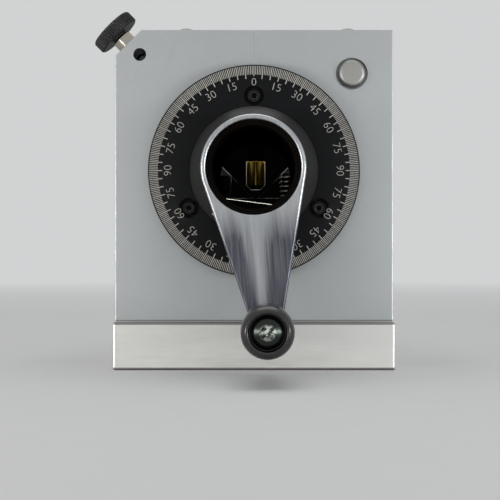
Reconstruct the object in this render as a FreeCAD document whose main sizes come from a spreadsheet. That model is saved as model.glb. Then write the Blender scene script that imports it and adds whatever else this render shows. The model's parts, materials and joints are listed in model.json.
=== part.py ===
import FreeCAD, Part
import math
import os
import Sketcher

# Punch former: a hollow indexing spindle in a square housing on a base plate.
# Millimetres. +Z is up, -Y is the crank side, +Y is the side that holds the work.
# The origin is the centre of the base plate's underside.

SIZES = {
    # Base plate and housing block
    "base_width": 106,
    "base_depth": 100,
    "base_height": 18,
    "base_edge": 1,
    "rear_ledge": 10,
    "block_depth": 60,
    "block_height": 111,
    "block_corner": 10,
    "block_edge": 0.5,
    "index_line_length": 12.5,
    "index_line_width": 0.5,
    "index_line_depth": 0.4,
    "spindle_height": 75,
    # Clearances
    "seat_gap": 0.05,
    "running_gap": 0.05,
    "free_gap": 0.3,
    "face_gap": 0.5,
    # Screws that hold the base, and its dowels
    "base_screw_spread": 80,
    "base_screw_pitch": 36,
    "base_screw_radius": 3,
    "base_screw_length": 24,
    "base_head_radius": 5,
    "base_head_height": 6,
    "base_head_sink": 7,
    "dowel_spread": 88,
    "dowel_radius": 3,
    "dowel_length": 20,
    "dowel_sink": 3,
    # Spindle and its ball bearings
    "bore_radius": 15,
    "neck_radius": 17,
    "journal_radius": 20,
    "bearing_radius": 34,
    "bearing_width": 15,
    "ring_wall": 4.5,
    "ball_radius": 3.9,
    "race_radius": 4.2,
    "ball_count": 12,
    "shoulder_radius": 23,
    "flange_radius": 33,
    "flange_width": 8,
    "spindle_edge": 0.5,
    "spindle_set_back": 0.4,
    "front_lip_radius": 31,
    "front_lip_width": 2,
    "lock_nut_radius": 25,
    "lock_nut_width": 6,
    # Bearing cover
    "cover_radius": 39.5,
    "cover_width": 4,
    "cover_sink": 3,
    "cover_lip": 1,
    "cover_bore_radius": 26,
    "cover_lip_bore_radius": 31,
    "cover_screw_circle": 36.4,
    "cover_screw_count": 4,
    "small_screw_radius": 1.5,
    "small_head_radius": 2.6,
    "small_head_height": 3,
    "small_head_room": 0.15,
    "cover_screw_length": 7,
    # Graduated dial and its hub
    "dial_radius": 40,
    "dial_stand": 8,
    "dial_gap": 1,
    "dial_flat_radius": 32,
    "dial_fall": 1.5,
    "dial_web": 5,
    "dial_screw_circle": 28.2,
    "dial_screw_count": 3,
    "dial_screw_length": 4.5,
    "dial_sink_radius": 3.85,
    "dial_sink_depth": 3.2,
    "hub_flange_radius": 33,
    "hub_cone_radius": 24.3,
    "hub_neck_radius": 18.5,
    # Crank
    "crank_reach": 56.7,
    "crank_tilt": 5.05,
    "crank_stand": 38,
    "crank_hub_radius": 19,
    "crank_hub_length": 14,
    "crank_end_radius": 8.6,
    "crank_thickness": 10,
    "crank_edge": 0.8,
    "crank_pin_turn": 42,
    "crank_pin_radius": 2,
    "crank_pin_length": 5.5,
    # Revolving handle
    "handle_screw_radius": 3,
    "bush_radius": 4,
    "handle_length": 49.6,
    "handle_root_radius": 6.9,
    "handle_belly_radius": 8.95,
    "handle_belly_at": 38,
    "handle_tip_radius": 7.2,
    "handle_tip_run": 3,
    "handle_sink_radius": 6.35,
    "handle_sink_depth": 4.8,
    "handle_washer": 1,
    "washer_radius": 5.6,
    "pan_head_radius": 5.7,
    "pan_head_height": 3.2,
    "pan_head_rim": 1.2,
    # Index plate and index pin
    "index_plate_radius": 53,
    "index_plate_width": 10,
    "index_notch_count": 24,
    "index_pin_circle": 52.7,
    "index_pin_angle": 45,
    "index_pin_radius": 5,
    "index_nose_radius": 4,
    "index_nose_length": 7,
    "index_nose_edge": 1,
    "index_pin_stand": 3,
    "index_pin_edge": 1.4,
    "index_travel": 5,
    "index_mouth_radius": 6.1,
    "index_mouth_depth": 4,
    "index_waist_radius": 4.2,
    "plate_screw_circle": 26,
    "plate_screw_count": 4,
    "plate_screw_radius": 2.5,
    "plate_screw_length": 11,
    "plate_head_radius": 4.25,
    "plate_head_height": 5,
    # Detent and oil plugs in the top of the block
    "detent_at": 30,
    "detent_ball_radius": 2,
    "detent_wire_radius": 0.3,
    "detent_coil_radius": 1.5,
    "detent_turns": 4,
    "plug_radius": 3,
    "plug_length": 4.5,
    "plug_head_radius": 4.2,
    "plug_head_rim": 3.1,
    "plug_head_height": 4.5,
    "oil_plug_at": 27.3,
    "oil_hole_radius": 1.5,
    # Stop rod hole and its thumb screw
    "rod_radius": 2.5,
    "rod_inset": 9.4,
    "stop_screw_at": 22,
    "stop_screw_radius": 4,
    "stop_pad_radius": 3.5,
    "stop_pad_length": 1,
    "stop_pad_rest": 0.3125,
    "stop_neck_out": 5.1,
    "stop_neck_edge": 0.8,
    "stop_core_radius": 3,
    "stop_knob_at": 7.3,
    "stop_knob_radius": 9.2,
    "stop_knob_length": 5.1,
    "stop_knob_edge": 0.6,
    # Broken edges of the pieces on the work side
    "fixture_edge": 0.5,
    "blade_edge": 0.3,
    # Guide post, lead screw and their bracket
    "post_at": 14.5,
    "post_spread": 37,
    "post_radius": 8,
    "post_rise": 7,
    "post_chamfer": 5,
    "bracket_width": 53,
    "bracket_depth": 23,
    "bracket_drop": 47,
    "bracket_height": 11,
    "bracket_screw_spread": 12,
    "bracket_screw_radius": 2,
    "bracket_screw_length": 24,
    "bracket_head_radius": 3.5,
    "bracket_head_height": 4,
    "lead_journal_radius": 5,
    "lead_collar_radius": 7,
    "lead_collar_width": 3,
    "lead_key_radius": 2.7,
    "lead_key_depth": 6,
    # Carriage and V block
    "v_travel": 6,
    "carriage_width": 64,
    "carriage_wall": 2.8,
    "carriage_front": 3,
    "carriage_height": 21.7,
    "lead_nut_radius": 9.6,
    "lead_nut_flange_radius": 10.3,
    "lead_nut_flange": 2,
    "v_width": 50,
    "v_length": 28,
    "v_height": 43,
    "v_apex_drop": 8.5,
    "v_half_opening": 18.5,
    "v_relief_width": 2,
    "v_relief_depth": 3,
    "v_screw_pitch": 9,
    "v_screw_drop": 16,
    "v_screw_radius": 2,
    "v_screw_length": 32,
    "v_head_radius": 3.5,
    "v_head_height": 4,
    # Clamp bridge and clamp screw
    "bridge_leg": 6,
    "bridge_length": 12,
    "bridge_set_back": 2,
    "bridge_bottom_drop": 15,
    "bridge_clear": 25,
    "bridge_beam": 10,
    "bridge_corner": 4,
    "bridge_screw_drop": 6,
    "bridge_screw_radius": 2,
    "bridge_screw_length": 12,
    "bridge_head_radius": 3.5,
    "bridge_head_height": 4,
    "clamp_screw_radius": 4,
    "clamp_stem_radius": 3.6,
    "clamp_pad_radius": 4.3,
    "clamp_pad_top": 9.5,
    "clamp_pad_length": 10.8,
    "clamp_pad_tip_radius": 2.3,
    "clamp_pad_taper": 2,
    "clamp_knob_gap": 3,
    "clamp_knob_radius": 10,
    "clamp_knob_length": 9,
    "clamp_knob_edge": 0.8,
    # End stop blade over the bore
    "blade_pivot_x": 38,
    "blade_pivot_drop": 9.1,
    "blade_reach": 57,
    "blade_tail": 5,
    "blade_height": 8,
    "blade_thickness": 2,
    "blade_tilt": 7.2,
    "blade_screw_radius": 2,
    "blade_screw_length": 8,
    "blade_head_radius": 3.5,
    "blade_head_height": 2.5,
}


class Size:
    """A length as a number, with the text that works it out from the sheet's cells."""

    def __init__(self, value, text):
        self.value = float(value)
        self.text = text

    def __add__(self, other):
        return combine(self, other, "+", self.value + number(other))

    def __sub__(self, other):
        return combine(self, other, "-", self.value - number(other))

    def __mul__(self, other):
        return combine(self, other, "*", self.value * number(other))

    def __truediv__(self, other):
        return combine(self, other, "/", self.value / number(other))

    def __neg__(self):
        return Size(-self.value, f"(0 - {self.text})")

    def __radd__(self, other):
        return constant(other) + self

    def __rsub__(self, other):
        return constant(other) - self

    def __rmul__(self, other):
        return constant(other) * self

    def __rtruediv__(self, other):
        return constant(other) / self


def constant(value):
    return value if isinstance(value, Size) else Size(value, f"{value:.9g}")


def number(value):
    return constant(value).value


def combine(left, right, sign, value):
    return Size(value, f"({left.text} {sign} {constant(right).text})")


def sine(angle):
    return Size(math.sin(math.radians(angle.value)), f"sin({angle.text})")


def cosine(angle):
    return Size(math.cos(math.radians(angle.value)), f"cos({angle.text})")


def root(value):
    return Size(math.sqrt(value.value), f"sqrt({value.text})")


class Sheet:
    """The driving sizes, one cell each, read back by name."""

    def __init__(self, document, sizes):
        cells = document.addObject("Spreadsheet::Sheet", "Sizes")
        for row, (name, value) in enumerate(sizes.items(), start=1):
            cells.set(f"A{row}", name)
            cells.set(f"B{row}", str(value))
            cells.setAlias(f"B{row}", name)
        self.sizes = sizes

    def __getattr__(self, name):
        return Size(self.sizes[name], f"Sizes.{name}")


doc = FreeCAD.newDocument("PunchFormer")
s = Sheet(doc, SIZES)
doc.recompute()

ZERO = Size(0, "0")
UPRIGHT = FreeCAD.Rotation()
FORWARD = FreeCAD.Rotation(FreeCAD.Vector(1, 0, 0), -90)
REARWARD = FreeCAD.Rotation(FreeCAD.Vector(1, 0, 0), 90)
UP_LEFT = FreeCAD.Rotation(FreeCAD.Vector(0, 1, 0), -45)
# Each plane's origin feature, and the sense of its normal along the positive axis.
PLANES = {"XY": ("XY_Plane", 1), "XZ": ("XZ_Plane", -1), "YZ": ("YZ_Plane", 1)}
pieces = []


# Helpers for bodies, sketches and features
def bind(item, prop, size):
    if size.value or "Sizes." in size.text:
        item.setExpression(prop, size.text)


def new_body(label, x=ZERO, y=ZERO, z=ZERO, rotation=UPRIGHT):
    body = doc.addObject("PartDesign::Body", label)
    body.Label = label
    body.Placement = FreeCAD.Placement(FreeCAD.Vector(x.value, y.value, z.value), rotation)
    for axis, size in zip("xyz", (x, y, z)):
        bind(body, f"Placement.Base.{axis}", size)
    pieces.append(body)
    return body


def origin_feature(body, role):
    return next(item for item in body.Origin.OriginFeatures if item.Role == role)


def new_sketch(body, plane, at=ZERO):
    role, sense = PLANES[plane]
    sketch = body.newObject("Sketcher::SketchObject", f"{body.Name}_sketch")
    sketch.AttachmentSupport = [(origin_feature(body, role), "")]
    sketch.MapMode = "FlatFace"
    bind(sketch, "AttachmentOffset.Base.z", at * sense)
    return sketch


def place_point(sketch, geometry, point, x, y):
    for kind, size in (("DistanceX", x), ("DistanceY", y)):
        index = sketch.addConstraint(Sketcher.Constraint(kind, -1, 1, geometry, point, size.value))
        bind(sketch, f"Constraints[{index}]", size)


def set_radius(sketch, geometry, radius):
    index = sketch.addConstraint(Sketcher.Constraint("Radius", geometry, radius.value))
    bind(sketch, f"Constraints[{index}]", radius)


def add_circles(sketch, circles):
    for x, y, radius in circles:
        x, y, radius = constant(x), constant(y), constant(radius)
        centre = FreeCAD.Vector(x.value, y.value, 0)
        shape = sketch.addGeometry(Part.Circle(centre, FreeCAD.Vector(0, 0, 1), radius.value))
        place_point(sketch, shape, 3, x, y)
        set_radius(sketch, shape, radius)


def arc_between(start, end, radius):
    """The short arc from start to end; a positive radius bulges to the right of the way."""
    chord = end - start
    half = chord.Length / 2
    side = FreeCAD.Vector(-chord.y, chord.x, 0).normalize()
    reach = math.sqrt(radius * radius - half * half)
    centre = (start + end) / 2 + side * math.copysign(reach, radius)
    bulge = centre - side * radius
    return Part.Arc(start, bulge, end)


def add_outline(sketch, corners):
    """A closed outline. A corner (x, y) starts a straight line, and (x, y, radius) an arc."""
    corners = [tuple(constant(part) for part in corner) for corner in corners]
    points = [FreeCAD.Vector(corner[0].value, corner[1].value, 0) for corner in corners]
    edges = []
    for index, corner in enumerate(corners):
        start, end = points[index], points[(index + 1) % len(points)]
        if len(corner) == 3:
            edge = sketch.addGeometry(arc_between(start, end, corner[2].value))
            set_radius(sketch, edge, abs_size(corner[2]))
            forward = corner[2].value > 0
        else:
            edge = sketch.addGeometry(Part.LineSegment(start, end))
            forward = True
        edges.append((edge, 1 if forward else 2, 2 if forward else 1))
    for index, (edge, first, last) in enumerate(edges):
        following = edges[(index + 1) % len(edges)]
        sketch.addConstraint(Sketcher.Constraint("Coincident", edge, last, following[0], following[1]))
        place_point(sketch, edge, first, corners[index][0], corners[index][1])


def curve_through(rise, run):
    """The radius of an arc that starts or ends along the run and rises by rise over it."""
    return (rise * rise + run * run) / (rise * 2)


def abs_size(size):
    return size if size.value > 0 else -size


def box_outline(left, low, right, high):
    return [(left, low), (right, low), (right, high), (left, high)]


def extrude(body, kind, plane, start, end, outlines=(), circles=()):
    """A pad or a pocket of the shapes between two stations of the plane's own axis."""
    sense = PLANES[plane][1]
    sketch = new_sketch(body, plane, start)
    for outline in outlines:
        add_outline(sketch, outline)
    add_circles(sketch, circles)
    feature = body.newObject(f"PartDesign::{kind}", f"{body.Name}_{kind.lower()}")
    feature.Profile = sketch
    bind(feature, "Length", end - start)
    feature.Reversed = (sense < 0) == (kind == "Pad")
    return feature


def pad(body, plane, start, end, **shapes):
    return extrude(body, "Pad", plane, constant(start), constant(end), **shapes)


def pocket(body, plane, start, end, **shapes):
    return extrude(body, "Pocket", plane, constant(start), constant(end), **shapes)


def turn(body, outline):
    """The outline turned about the body's own Z axis."""
    sketch = new_sketch(body, "XZ")
    add_outline(sketch, outline)
    feature = body.newObject("PartDesign::Revolution", f"{body.Name}_turned")
    feature.Profile = sketch
    feature.ReferenceAxis = (origin_feature(body, "Z_Axis"), [""])
    feature.Angle = 360
    return feature


def turn_about_edge(body, sketch, kind):
    """The sketch turned about its own last side, as a solid or as a hole."""
    feature = body.newObject(f"PartDesign::{kind}", f"{body.Name}_{kind.lower()}")
    feature.Profile = sketch
    feature.ReferenceAxis = (sketch, [f"Edge{sketch.GeometryCount}"])
    feature.Angle = 360
    return feature


def turn_ball(body, x, y, radius):
    """A ball, as a half disc turned about its own straight side."""
    sketch = new_sketch(body, "XZ")
    centre = FreeCAD.Vector(x.value, y.value, 0)
    circle = Part.Circle(centre, FreeCAD.Vector(0, 0, 1), radius.value)
    arc = sketch.addGeometry(Part.ArcOfCircle(circle, -math.pi / 2, math.pi / 2))
    side = FreeCAD.Vector(0, radius.value, 0)
    line = sketch.addGeometry(Part.LineSegment(centre + side, centre - side))
    place_point(sketch, arc, 3, x, y)
    set_radius(sketch, arc, radius)
    sketch.addConstraint(Sketcher.Constraint("Coincident", arc, 2, line, 1))
    sketch.addConstraint(Sketcher.Constraint("Coincident", arc, 1, line, 2))
    sketch.addConstraint(Sketcher.Constraint("Vertical", line))
    sketch.addConstraint(Sketcher.Constraint("PointOnObject", arc, 3, line))
    return turn_about_edge(body, sketch, "Revolution")


def ring_pattern(body, feature, count):
    pattern = body.newObject("PartDesign::PolarPattern", f"{body.Name}_pattern")
    pattern.Originals = [feature]
    pattern.Axis = (origin_feature(body, "Z_Axis"), [""])
    pattern.Angle = 360
    bind(pattern, "Occurrences", count)
    body.Tip = pattern
    return pattern


def cut_edges(body, kind, wanted, size):
    """A chamfer or a fillet on the tip's edges that the test picks."""
    doc.recompute()
    base = body.Tip
    names = [f"Edge{index}" for index, edge in enumerate(base.Shape.Edges, start=1) if wanted(edge)]
    feature = body.newObject(f"PartDesign::{kind}", f"{body.Name}_{kind.lower()}")
    feature.Base = (base, names)
    bind(feature, "Size" if kind == "Chamfer" else "Radius", size)
    return feature


def near(value, target):
    return abs(value - target) < 0.01


def all_at(edge, axis, target):
    low = getattr(edge.BoundBox, f"{axis}Min")
    high = getattr(edge.BoundBox, f"{axis}Max")
    return near(low, target) and near(high, target)


def tube(label, inner, outer, start, end, rotation=FORWARD, edge=None, x=ZERO, y=ZERO, z=ZERO):
    """A plain ring or sleeve, with its outer edges broken when an edge size is given."""
    body = new_body(label, x, y, z, rotation)
    start, end, outer = constant(start), constant(end), constant(outer)
    if edge is None:
        outline = [(inner, start), (outer, start), (outer, end), (inner, end)]
    else:
        outline = [
            (inner, start),
            (outer - edge, start),
            (outer, start + edge),
            (outer, end - edge),
            (outer - edge, end),
            (inner, end),
        ]
    turn(body, outline)
    return body


def spot(circle, angle):
    """A point at an angle from the top, in the sketch axes of a piece that is turned forward."""
    return circle * sine(constant(angle)), -(circle * cosine(constant(angle)))


def cap_screws(label, plane, centres, seat, out, head, shank, **place):
    """Cap screws as one group. seat is the head's underside and out the sense of the head."""
    body = new_body(label, **place)
    head_radius, head_height = head
    shank_radius, shank_length = shank
    heads = [(x, y, head_radius) for x, y in centres]
    shanks = [(x, y, shank_radius) for x, y in centres]
    head_end = seat + head_height * out
    shank_end = seat - shank_length * out
    pad(body, plane, *ordered(seat, head_end), circles=heads)
    pad(body, plane, *ordered(shank_end, seat), circles=shanks)
    return body


def ordered(first, second):
    first, second = constant(first), constant(second)
    return (first, second) if first.value < second.value else (second, first)


def corners_of(spread, pitch, middle):
    half = spread / 2
    return [(side * half, middle + end * pitch / 2) for side in (-1, 1) for end in (-1, 1)]


# Places worked out from the sizes. Y stations run from the crank side to the work side.
half_width = s.base_width / 2
base_rear = -(s.base_depth / 2)
base_front = s.base_depth / 2
block_rear = base_rear + s.rear_ledge
block_front = block_rear + s.block_depth
block_top = s.base_height + s.block_height
cover_front = block_rear + s.cover_sink + s.cover_width
rear_bearing = cover_front + s.cover_lip
rear_bearing_end = rear_bearing + s.bearing_width
front_lip = block_front - s.front_lip_width
front_bearing = front_lip - s.bearing_width
dial_face = block_rear - s.dial_stand
dial_back = block_rear - s.dial_gap
hub_flange_face = dial_face + s.dial_web
lock_nut_rear = rear_bearing - s.lock_nut_width
crank_rear = block_rear - s.crank_stand
crank_front = crank_rear + s.crank_hub_length
spindle_rear = crank_rear + s.spindle_set_back
flange_rear = block_front + s.face_gap
plate_rear = flange_rear + s.flange_width
plate_front = plate_rear + s.index_plate_width
handle_x = s.crank_reach * sine(s.crank_tilt)
handle_z = s.spindle_height - s.crank_reach * cosine(s.crank_tilt)
pin_x = s.index_pin_circle * sine(s.index_pin_angle)
pin_z = s.spindle_height + s.index_pin_circle * cosine(s.index_pin_angle)
detent_y = block_rear + s.detent_at
rod_x = s.rod_inset - half_width
rod_z = block_top - s.rod_inset
rod_to_chamfer = (s.rod_inset * 2 - s.block_corner) / root(constant(2))
stop_y = block_rear + s.stop_screw_at
post_y = plate_front + s.post_at
post_x = s.post_spread / 2
bracket_top = s.bracket_height - s.bracket_drop
carriage_bottom = bracket_top + s.v_travel + s.free_gap
carriage_top = carriage_bottom + s.carriage_height
carriage_rear = post_y - s.post_radius - s.carriage_wall
carriage_front = post_y + s.post_radius + s.carriage_front
v_front = carriage_front + s.v_length
v_top = s.v_half_opening - s.v_apex_drop
bridge_rear = carriage_front + s.v_length / 2 - s.bridge_length / 2 - s.bridge_set_back
clamp_y = bridge_rear + s.bridge_length / 2
bridge_top = s.bridge_clear + s.bridge_beam
oil_x = -s.oil_plug_at
AXIS = {"z": s.spindle_height}
ON_AXIS = {"z": s.spindle_height, "rotation": FORWARD}


# Base plate, housing block and what joins them
def base_screw_centres():
    return corners_of(s.base_screw_spread, s.base_screw_pitch, (block_rear + block_front) / 2)


def dowel_centres():
    middle = (block_rear + block_front) / 2
    return [(-(s.dowel_spread / 2), middle), (s.dowel_spread / 2, middle)]


def make_base_plate():
    body = new_body("base_plate")
    outline = box_outline(-half_width, base_rear, half_width, base_front)
    pad(body, "XY", ZERO, s.base_height, outlines=[outline])
    cut_edges(body, "Chamfer", lambda edge: not all_at(edge, "Z", 0), s.base_edge)
    holes = [(x, y, s.base_screw_radius + s.seat_gap) for x, y in base_screw_centres()]
    pocket(body, "XY", ZERO, s.base_height, circles=holes)
    sinks = [(x, y, s.base_head_radius + s.small_head_room) for x, y in base_screw_centres()]
    pocket(body, "XY", ZERO, s.base_head_sink, circles=sinks)
    dowels = [(x, y, s.dowel_radius + s.seat_gap) for x, y in dowel_centres()]
    pocket(body, "XY", ZERO, s.base_height, circles=dowels)


def make_block():
    body = new_body("housing_block")
    outline = [
        (-half_width, s.base_height),
        (half_width, s.base_height),
        (half_width, block_top),
        (s.block_corner - half_width, block_top),
        (-half_width, block_top - s.block_corner),
    ]
    pad(body, "XZ", block_rear, block_front, outlines=[outline])
    cut_edges(body, "Chamfer", lambda edge: not all_at(edge, "Z", s.base_height.value), s.block_edge)
    cut_bearing_seats(body)
    cut_index_pin_bore(body)
    cut_stop_rod_holes(body)
    cut_top_holes(body)
    cut_under_holes(body)
    half_line = s.index_line_width / 2
    line = box_outline(-half_line, block_top - s.index_line_length, half_line, block_top)
    pocket(body, "XZ", block_rear, block_rear + s.index_line_depth, outlines=[line])


def cut_bearing_seats(body):
    for radius, start, end in (
        (s.cover_radius + s.seat_gap, block_rear, cover_front),
        (s.bearing_radius + s.seat_gap, cover_front, front_lip),
        (s.front_lip_radius, front_lip, block_front),
    ):
        pocket(body, "XZ", start, end, circles=[(ZERO, s.spindle_height, radius)])
    holes = []
    for angle in cover_screw_angles():
        across, down = spot(s.cover_screw_circle, angle)
        holes.append((across, s.spindle_height - down, s.small_screw_radius + s.seat_gap))
    pocket(body, "XZ", cover_front, cover_front + s.cover_screw_length, circles=holes)


def cover_screw_angles():
    count = SIZES["cover_screw_count"]
    return [(step + 0.5) * 360 / count for step in range(count)]


def cut_index_pin_bore(body):
    pocket(body, "XZ", block_rear, block_front, circles=[(pin_x, pin_z, s.index_pin_radius + s.running_gap)])
    mouth = [(pin_x, pin_z, s.index_mouth_radius)]
    pocket(body, "XZ", block_rear, block_rear + s.index_mouth_depth, circles=mouth)


def cut_stop_rod_holes(body):
    pocket(body, "XZ", block_rear, block_front, circles=[(rod_x, rod_z, s.rod_radius)])
    # The screw's hole runs square to the cut corner, down to the rod hole.
    sketch = new_sketch(body, "XZ", stop_y)
    slope = 1 / root(constant(2))
    bore = s.stop_screw_radius + s.seat_gap
    reach = rod_to_chamfer + s.block_corner
    add_outline(sketch, [
        (rod_x, rod_z),
        (rod_x + bore * slope, rod_z + bore * slope),
        (rod_x + (bore - reach) * slope, rod_z + (bore + reach) * slope),
        (rod_x - reach * slope, rod_z + reach * slope),
    ])
    turn_about_edge(body, sketch, "Groove")


def cut_top_holes(body):
    detent = (pin_x, detent_y, s.detent_ball_radius + s.seat_gap * 2)
    pocket(body, "XY", pin_z, block_top, circles=[detent])
    oil = (oil_x, detent_y, s.oil_hole_radius)
    pocket(body, "XY", s.spindle_height, block_top, circles=[oil])
    threads = [(x, detent_y, s.plug_radius + s.seat_gap) for x in (pin_x, oil_x)]
    pocket(body, "XY", block_top - s.plug_length, block_top, circles=threads)


def cut_under_holes(body):
    screw_depth = s.base_head_sink + s.base_screw_length
    screws = [(x, y, s.base_screw_radius + s.seat_gap) for x, y in base_screw_centres()]
    pocket(body, "XY", s.base_height, screw_depth, circles=screws)
    dowels = [(x, y, s.dowel_radius + s.seat_gap) for x, y in dowel_centres()]
    pocket(body, "XY", s.base_height, s.dowel_sink + s.dowel_length, circles=dowels)


def make_base_fasteners():
    head = (s.base_head_radius, s.base_head_height)
    shank = (s.base_screw_radius, s.base_screw_length - s.seat_gap)
    cap_screws("base_screws", "XY", base_screw_centres(), s.base_head_sink, -1, head, shank)
    dowels = new_body("dowel_pins")
    rounds = [(x, y, s.dowel_radius) for x, y in dowel_centres()]
    pad(dowels, "XY", s.dowel_sink, s.dowel_sink + s.dowel_length - s.seat_gap, circles=rounds)


# Spindle, bearings and the bearing cover
def make_spindle():
    body = new_body("spindle", **ON_AXIS)
    edge = s.spindle_edge
    turn(body, [
        (s.bore_radius + edge, spindle_rear),
        (s.neck_radius - edge, spindle_rear),
        (s.neck_radius, spindle_rear + edge),
        (s.neck_radius, lock_nut_rear),
        (s.journal_radius, lock_nut_rear),
        (s.journal_radius, front_lip),
        (s.shoulder_radius, front_lip),
        (s.shoulder_radius, flange_rear),
        (s.flange_radius, flange_rear),
        (s.flange_radius, plate_rear),
        (s.journal_radius, plate_rear),
        (s.journal_radius, plate_front - edge),
        (s.journal_radius - edge, plate_front),
        (s.bore_radius, plate_front),
        (s.bore_radius, spindle_rear + edge),
    ])
    x, y = spot(s.plate_screw_circle, 0)
    hole_end = plate_rear - s.flange_width
    hole = pocket(body, "XY", hole_end, plate_rear, circles=[(x, y, s.plate_screw_radius + s.seat_gap)])
    ring_pattern(body, hole, s.plate_screw_count)


def make_bearing(name, start):
    """Two grooved rings and the balls between them."""
    end = start + s.bearing_width
    middle = start + s.bearing_width / 2
    inner_wall = s.journal_radius + s.ring_wall
    outer_wall = s.bearing_radius - s.ring_wall
    ball_circle = (inner_wall + outer_wall) / 2
    sink = (outer_wall - inner_wall) / 2
    half_groove = root(s.race_radius * s.race_radius - sink * sink)
    bore = s.journal_radius + s.seat_gap
    inner = new_body(f"{name}_inner_ring", **ON_AXIS)
    turn(inner, [
        (bore, start),
        (inner_wall, start),
        (inner_wall, middle - half_groove, -s.race_radius),
        (inner_wall, middle + half_groove),
        (inner_wall, end),
        (bore, end),
    ])
    outer = new_body(f"{name}_outer_ring", **ON_AXIS)
    turn(outer, [
        (outer_wall, start),
        (s.bearing_radius, start),
        (s.bearing_radius, end),
        (outer_wall, end),
        (outer_wall, middle + half_groove, -s.race_radius),
        (outer_wall, middle - half_groove),
    ])
    balls = new_body(f"{name}_balls", **ON_AXIS)
    ring_pattern(balls, turn_ball(balls, ball_circle, middle, s.ball_radius), s.ball_count)


def make_bearing_stack():
    make_bearing("rear_bearing", rear_bearing)
    make_bearing("front_bearing", front_bearing)
    spacer_wall = s.ring_wall
    tube("inner_spacer", s.journal_radius + s.seat_gap, s.journal_radius + spacer_wall,
         rear_bearing_end, front_bearing, z=s.spindle_height)
    tube("outer_spacer", s.bearing_radius - spacer_wall, s.bearing_radius,
         rear_bearing_end, front_bearing, z=s.spindle_height)
    tube("lock_nut", s.journal_radius + s.seat_gap, s.lock_nut_radius, lock_nut_rear, rear_bearing,
         edge=s.spindle_edge, z=s.spindle_height)


def make_bearing_cover():
    body = new_body("bearing_cover", **ON_AXIS)
    cover_rear = block_rear + s.cover_sink
    turn(body, [
        (s.cover_bore_radius, cover_rear),
        (s.cover_radius, cover_rear),
        (s.cover_radius, cover_front),
        (s.bearing_radius, cover_front),
        (s.bearing_radius, rear_bearing),
        (s.cover_lip_bore_radius, rear_bearing),
        (s.cover_lip_bore_radius, cover_front),
        (s.cover_bore_radius, cover_front),
    ])
    centres = [spot(s.cover_screw_circle, angle) for angle in cover_screw_angles()]
    seat = cover_rear + s.small_head_height
    clear = s.small_screw_radius + s.seat_gap
    sunk = s.small_head_radius + s.small_head_room
    pocket(body, "XY", cover_rear, cover_front, circles=[(x, y, clear) for x, y in centres])
    pocket(body, "XY", cover_rear, seat, circles=[(x, y, sunk) for x, y in centres])
    head = (s.small_head_radius, s.small_head_height)
    shank = (s.small_screw_radius, s.cover_screw_length)
    cap_screws("cover_screws", "XY", centres, seat, -1, head, shank, **ON_AXIS)


# Dial and its hub
def make_dial():
    hub = new_body("dial_hub", **ON_AXIS)
    cone_end = dial_face - (s.hub_cone_radius - s.hub_neck_radius)
    bore = s.neck_radius + s.seat_gap
    turn(hub, [
        (bore, crank_front),
        (s.hub_neck_radius, crank_front),
        (s.hub_neck_radius, cone_end),
        (s.hub_cone_radius, dial_face),
        (s.hub_cone_radius, hub_flange_face),
        (s.hub_flange_radius, hub_flange_face),
        (s.hub_flange_radius, lock_nut_rear),
        (bore, lock_nut_rear),
    ])
    x, y = spot(s.dial_screw_circle, 0)
    thread = (x, y, s.small_screw_radius + s.seat_gap)
    hole = pocket(hub, "XY", hub_flange_face, lock_nut_rear, circles=[thread])
    ring_pattern(hub, hole, s.dial_screw_count)
    dial = new_body("dial_plate", **ON_AXIS)
    rebate = s.hub_flange_radius + s.seat_gap
    turn(dial, [
        (s.hub_cone_radius + s.seat_gap, dial_face),
        (s.dial_flat_radius, dial_face),
        (s.dial_radius, dial_face + s.dial_fall),
        (s.dial_radius, dial_back),
        (rebate, dial_back),
        (rebate, hub_flange_face),
        (s.hub_cone_radius + s.seat_gap, hub_flange_face),
    ])
    hole = pocket(dial, "XY", dial_face, hub_flange_face, circles=[thread])
    ring_pattern(dial, hole, s.dial_screw_count)
    seat = dial_face + s.dial_sink_depth
    sink = pocket(dial, "XY", dial_face, seat, circles=[(x, y, s.dial_sink_radius)])
    ring_pattern(dial, sink, s.dial_screw_count)
    count = SIZES["dial_screw_count"]
    centres = [spot(s.dial_screw_circle, 360 * step / count) for step in range(count)]
    head = (s.small_head_radius, s.small_head_height)
    shank = (s.small_screw_radius, s.dial_screw_length)
    cap_screws("dial_screws", "XY", centres, seat, -1, head, shank, **ON_AXIS)


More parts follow.
